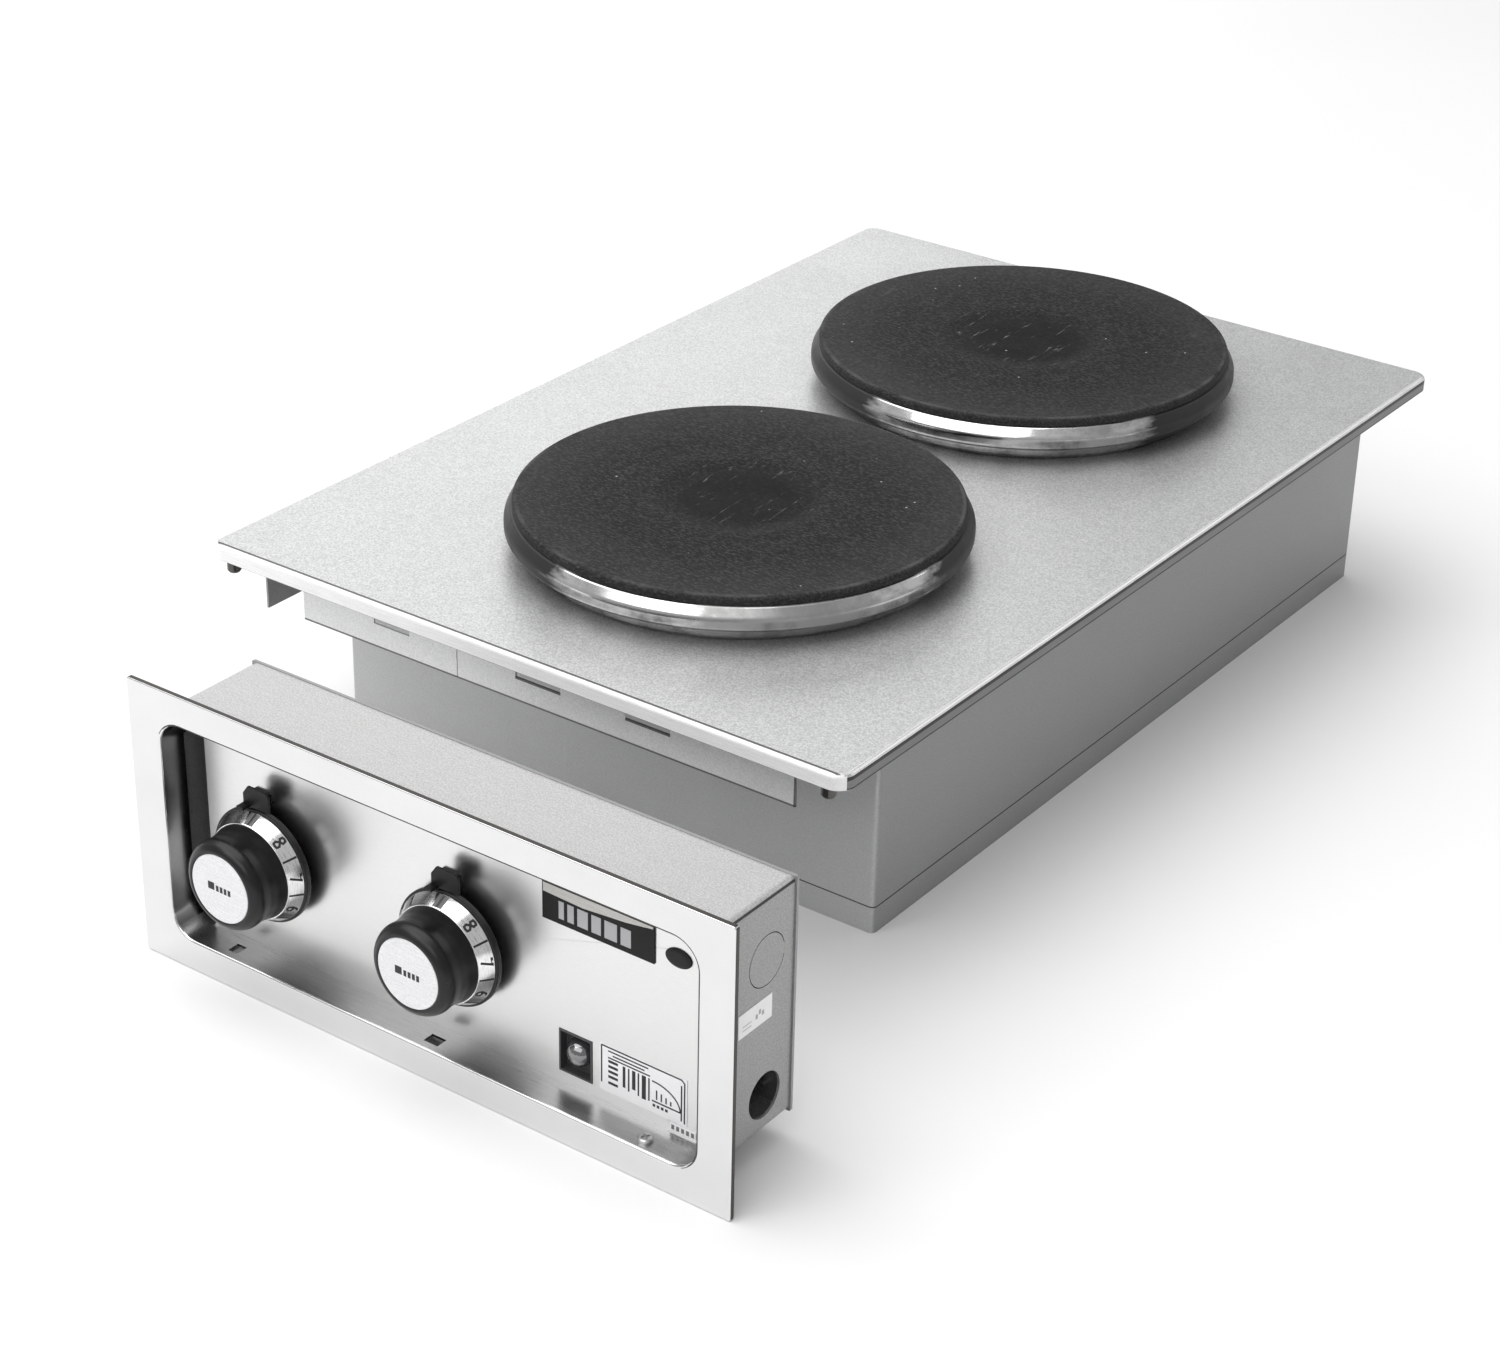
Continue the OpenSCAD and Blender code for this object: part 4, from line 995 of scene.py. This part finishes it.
def cap_mark(side, body, front):
    """A small plain printed mark in the middle of the cap: one block and four short bars."""
    place_x, place_z = KNOB_AT[side]

    def put(u, v, h):
        return (place_x + u, PANEL_Y - front - h, place_z + v)
    parts = [block(-7.2, -1.8, -3.4, 2.0, *INK, put), *row(-2.4, -1.8, 1.6, 3.0, 2.4, 4, *INK, put)]
    new_piece(side + "_cap_mark", join(parts), body, "ink")


for side in TURNS:
    knob(side)


# ---- Oval hole plug ----

def hole_plug():
    """A low domed oval button with a rolled rim, and the neck behind it."""
    low, high = box_mm("hole_plug")
    centre = (low + high) / 2
    half_h = (high.z - low.z) / 2
    widen = (high.x - low.x) / (high.z - low.z)
    head_t = PANEL_Y - low.y
    neck_r = half_h - 1.2

    def put(r, out, turn):
        return (centre.x + widen * r * math.cos(turn), PANEL_Y - out, centre.z + r * math.sin(turn))
    button = rounded([(0, -1), (neck_r, -1), (neck_r, 0), (half_h, 0), (half_h, head_t * 0.55, 0.4),
                      (half_h * 0.7, head_t * 0.92, 3), (0, head_t)])
    new_piece("hole_plug_button", lathe(button, put, 72), CONTROL, "black_metal",
              ["hole_plug"], sharp=45)


hole_plug()


# ---- Plain printed patterns on the plates and labels ----

def on_front(node):
    """Puts flat marks on a label that faces the front: u to the right and v up from its lower left corner."""
    low, high = box_mm(node)
    return lambda u, v, h: (low.x + u, low.y - h, low.z + v)


def on_right(node):
    low, high = box_mm(node)
    return lambda u, v, h: (high.x + h, low.y + u, low.z + v)


def nameplate_print():
    put = on_front("nameplate")
    parts, u, gap = [], 9.0, 1.9
    for width in (2.8, 3.4, 5.6, 5.0, 6.6, 5.4):
        parts.append(block(u, 2.8, u + width, 11.4, *INK, put))
        u += width + gap
    new_piece("nameplate_bars", join(parts), CONTROL, "pale_ink")
    # A grey wedge along the nameplate's top, narrowing to the right: painted shadow of the bezel's top edge.
    band = [(0.6, 17.8), (0.6, 13.4), (22, 12.6), (45, 14.6), (58.8, 16.8), (58.8, 17.8)]
    new_piece("nameplate_shadow_band", prism(band, [], *INK, put), CONTROL, "nameplate_shadow")


def rating_print():
    put = on_front("rating_label")
    pen = 0.75
    frame_lines = [[(1, 23), (43.6, 23), (45.2, 21.6), (45.2, 1.2)], [(1, 23), (1, 4)],
                   [(43.6, 20), (43.6, 2)]]
    parts = [stroke(line, pen, *INK, put) for line in frame_lines]
    for v, u0, u1 in ((21.2, 4.5, 26), (19.4, 7, 24), (17.8, 4.5, 27)):
        parts.append(stroke([(u0, v), (u1, v)], 0.7, *INK, put))
    bars = ((12.4, 1.4, 6), (15.2, 0.8, 5), (17.4, 1.8, 7), (20.4, 0.8, 5), (22.6, 2.2, 4.6), (26, 0.8, 5))
    for u, width, v0 in bars:
        parts.append(block(u, v0, u + width, 16.6, *INK, put))
    for v in (15.4, 12.8, 10.2, 7.6, 4.4):
        parts.append(block(4.6, v, 9.8, v + 1.3, *INK, put))
    quarter = [a / 10 * math.pi / 2 for a in range(11)]
    parts.append(stroke([(28 + 15 * math.sin(a), 6 + 10 * math.cos(a)) for a in quarter], pen, *INK, put))
    parts.append(stroke([(28, 6), (43.4, 6)], pen, *INK, put))
    for u in (30.5, 33, 35.5, 38):
        parts.append(stroke([(u, 7.2), (u, 12.2 - (u - 30) * 0.35)], pen, *INK, put))
    parts += row(28.4, 3.2, 1.4, 1.4, 2.2, 4, *INK, put)
    new_piece("rating_lines", join(parts), CONTROL, "ink")


def strip_print():
    blocks = row(0.8, 0.6, 1.5, 2.3, 2.6, 5, *INK, on_front("strip_label"))
    new_piece("strip_blocks", join(blocks), CONTROL, "grey_ink")


def side_label_print():
    put = on_right("side_label")
    parts = [stroke([(3, v), (9, v)], 0.3, *INK, put) for v in (3, 5)]
    for u, v in ((12, 4.2), (14.2, 5.6), (16.4, 4.2)):
        parts.append(block(u, v, u + 1.4, v + 2.2, *INK, put))
    new_piece("side_label_marks", join(parts), CONTROL, "pale_ink")


nameplate_print()
rating_print()
strip_print()
side_label_print()


# ---- Screws with cross recesses ----

def cross(reach, half):
    """Outline of a plus sign."""
    return [(half, reach), (half, half), (reach, half), (reach, -half), (half, -half), (half, -reach),
            (-half, -reach), (-half, -half), (-reach, -half), (-reach, half), (-half, half), (-half, reach)]


def cross_head(put, head_r, head_h, deep=1.0):
    """A pan head: a round side, a domed shoulder and a flat top with a cross-shaped recess."""
    slot = cross(head_r * 0.58, head_r * 0.14)
    profile = [(head_r, 0), (head_r, head_h * 0.45), (head_r * 0.93, head_h * 0.8), (head_r * 0.78, head_h)]
    count = 40
    rings = [circle(0, 0, r, count) for r, _ in profile]
    verts = [put(u, v, h) for ring, (_, h) in zip(rings, profile) for u, v in ring]
    faces = [face for i in range(len(profile) - 1) for face in wall(i * count, (i + 1) * count, count)]
    faces.append(tuple(range(count)))
    first = len(verts)
    verts += [put(u, v, h) for h in (head_h, head_h - deep) for u, v in slot]
    floor_first = first + len(slot)
    index = [*range(first - count, first), *range(first, floor_first)]
    faces += [tuple(index[i] for i in t) for t in fill(rings[-1], slot)]
    faces += wall(first, floor_first, len(slot))
    faces += [tuple(floor_first + i for i in t) for t in fill(slot)]
    return verts, faces


def screw(put, head_r, head_h, shank_r, low):
    """A screw: its head, and its shank down to the height low."""
    return [cross_head(put, head_r, head_h), prism(circle(0, 0, shank_r, 24), [], low, 0, put)]


def turned_frame(centre, axis, turn_deg):
    """Puts a screw: h along the axis, u and v across it, turned a little so no two slots line up."""
    along = Vector(axis)
    side_way = Vector((0, 0, 1)) if abs(along.z) < 0.5 else Vector((1, 0, 0))
    across = along.cross(side_way)
    cos, sin = math.cos(math.radians(turn_deg)), math.sin(math.radians(turn_deg))

    def put(u, v, h):
        return tuple(Vector(centre) + along * h + across * (u * cos - v * sin)
                     + side_way * (u * sin + v * cos))
    return put


def screws():
    low, high = box_mm("pan_screws")
    pan = []
    for i, x in enumerate((-120, -40, 40, 120)):
        put = turned_frame((x, low.y, (low.z + high.z) / 2), (0, 1, 0), 20 + 37 * i)
        pan.append(cross_head(put, 3.6, 2.0))
    new_piece("pan_screw_heads", join(pan), HOB, "plated", ["pan_screws"], sharp=35)
    low, high = box_mm("back_screws")
    head_r = 3.4
    places = [(x, z) for x in (low.x + head_r, high.x - head_r) for z in (low.z + head_r, high.z - head_r)]
    back = []
    for i, (x, z) in enumerate(places):
        back += screw(turned_frame((x, high.y - 1.8, z), (0, 1, 0), 10 + 41 * i), head_r, 1.8, 1.8, -6)
    new_piece("back_screw_heads", join(back), CONTROL, "plated", ["back_screws"], sharp=35)
    low, high = box_mm("floor_screw")
    head_z = high.z - 2.0
    put = turned_frame(((low.x + high.x) / 2, (low.y + high.y) / 2, head_z), (0, 0, 1), 33)
    new_piece("floor_screw_head", join(screw(put, 3.6, 2.0, 1.6, low.z - head_z)), CONTROL,
              "plated", ["floor_screw"], sharp=35)


screws()


# ---- Studio ----

def floor():
    size = 14.0
    mesh = bpy.data.meshes.new("studio_floor")
    corners = [(-size, -size, 0), (size, -size, 0), (size, size, 0), (-size, size, 0)]
    mesh.from_pydata(corners, [], [(0, 1, 2, 3)])
    mesh.materials.append(studio_floor_look("floor_pale"))
    made = new_object("studio_floor", mesh)


def softbox(name, place, aim, size, power):
    light = bpy.data.lights.new(name, "AREA")
    light.shape = "RECTANGLE"
    light.size, light.size_y = size
    light.energy = power
    made = new_object(name, light)
    made.location = place
    made.rotation_euler = (Vector(aim) - Vector(place)).to_track_quat("-Z", "Y").to_euler()


def studio():
    world = bpy.data.worlds.new("studio_world")
    world.use_nodes = True
    background = world.node_tree.nodes["Background"]
    background.inputs["Color"].default_value = (0.45, 0.45, 0.453, 1)
    background.inputs["Strength"].default_value = 1.0
    bpy.context.scene.world = world
    floor()
    softbox("key_softbox", (-0.9, -0.6, 3.0), (0, 0, 0), (3.6, 3.6), 92)
    softbox("front_softbox", (0.1, -2.3, 1.8), (0, -0.2, 0), (3.0, 1.4), 26)
    softbox("back_right_strip", (1.4, 2.15, 1.6), (0.1, 0, 0.1), (1.3, 0.4), 3.5)
    softbox("back_left_softbox", (-1.5, 1.1, 0.95), (0, 0, 0.1), (1.8, 1.1), 6)


CAMERA_PLACE = (0.8611, -1.2995, 0.8217)
CAMERA_TURN = (35.57, 28.06, 1.26)  # azimuth, elevation and roll in degrees
LENS_MM = 76.85
SENSOR_MM = 36


def camera():
    """The picture's view, as solved from its straight edges and circles."""
    azimuth, elevation, roll = (math.radians(a) for a in CAMERA_TURN)
    back = Vector((math.sin(azimuth) * math.cos(elevation), -math.cos(azimuth) * math.cos(elevation),
                   math.sin(elevation)))
    right = Vector((math.cos(azimuth), math.sin(azimuth), 0))
    up = back.cross(right)
    tilted_right = right * math.cos(roll) + up * math.sin(roll)
    tilted_up = up * math.cos(roll) - right * math.sin(roll)
    data = bpy.data.cameras.new("camera")
    data.lens = LENS_MM
    data.sensor_width = SENSOR_MM
    data.sensor_fit = "HORIZONTAL"
    data.clip_start, data.clip_end = 0.05, 50
    made = new_object("camera", data)
    turn = Matrix((tilted_right, tilted_up, back)).transposed().to_4x4()
    made.matrix_world = Matrix.Translation(CAMERA_PLACE) @ turn
    bpy.context.scene.camera = made


studio()
camera()
bpy.context.scene.view_settings.view_transform = "Standard"
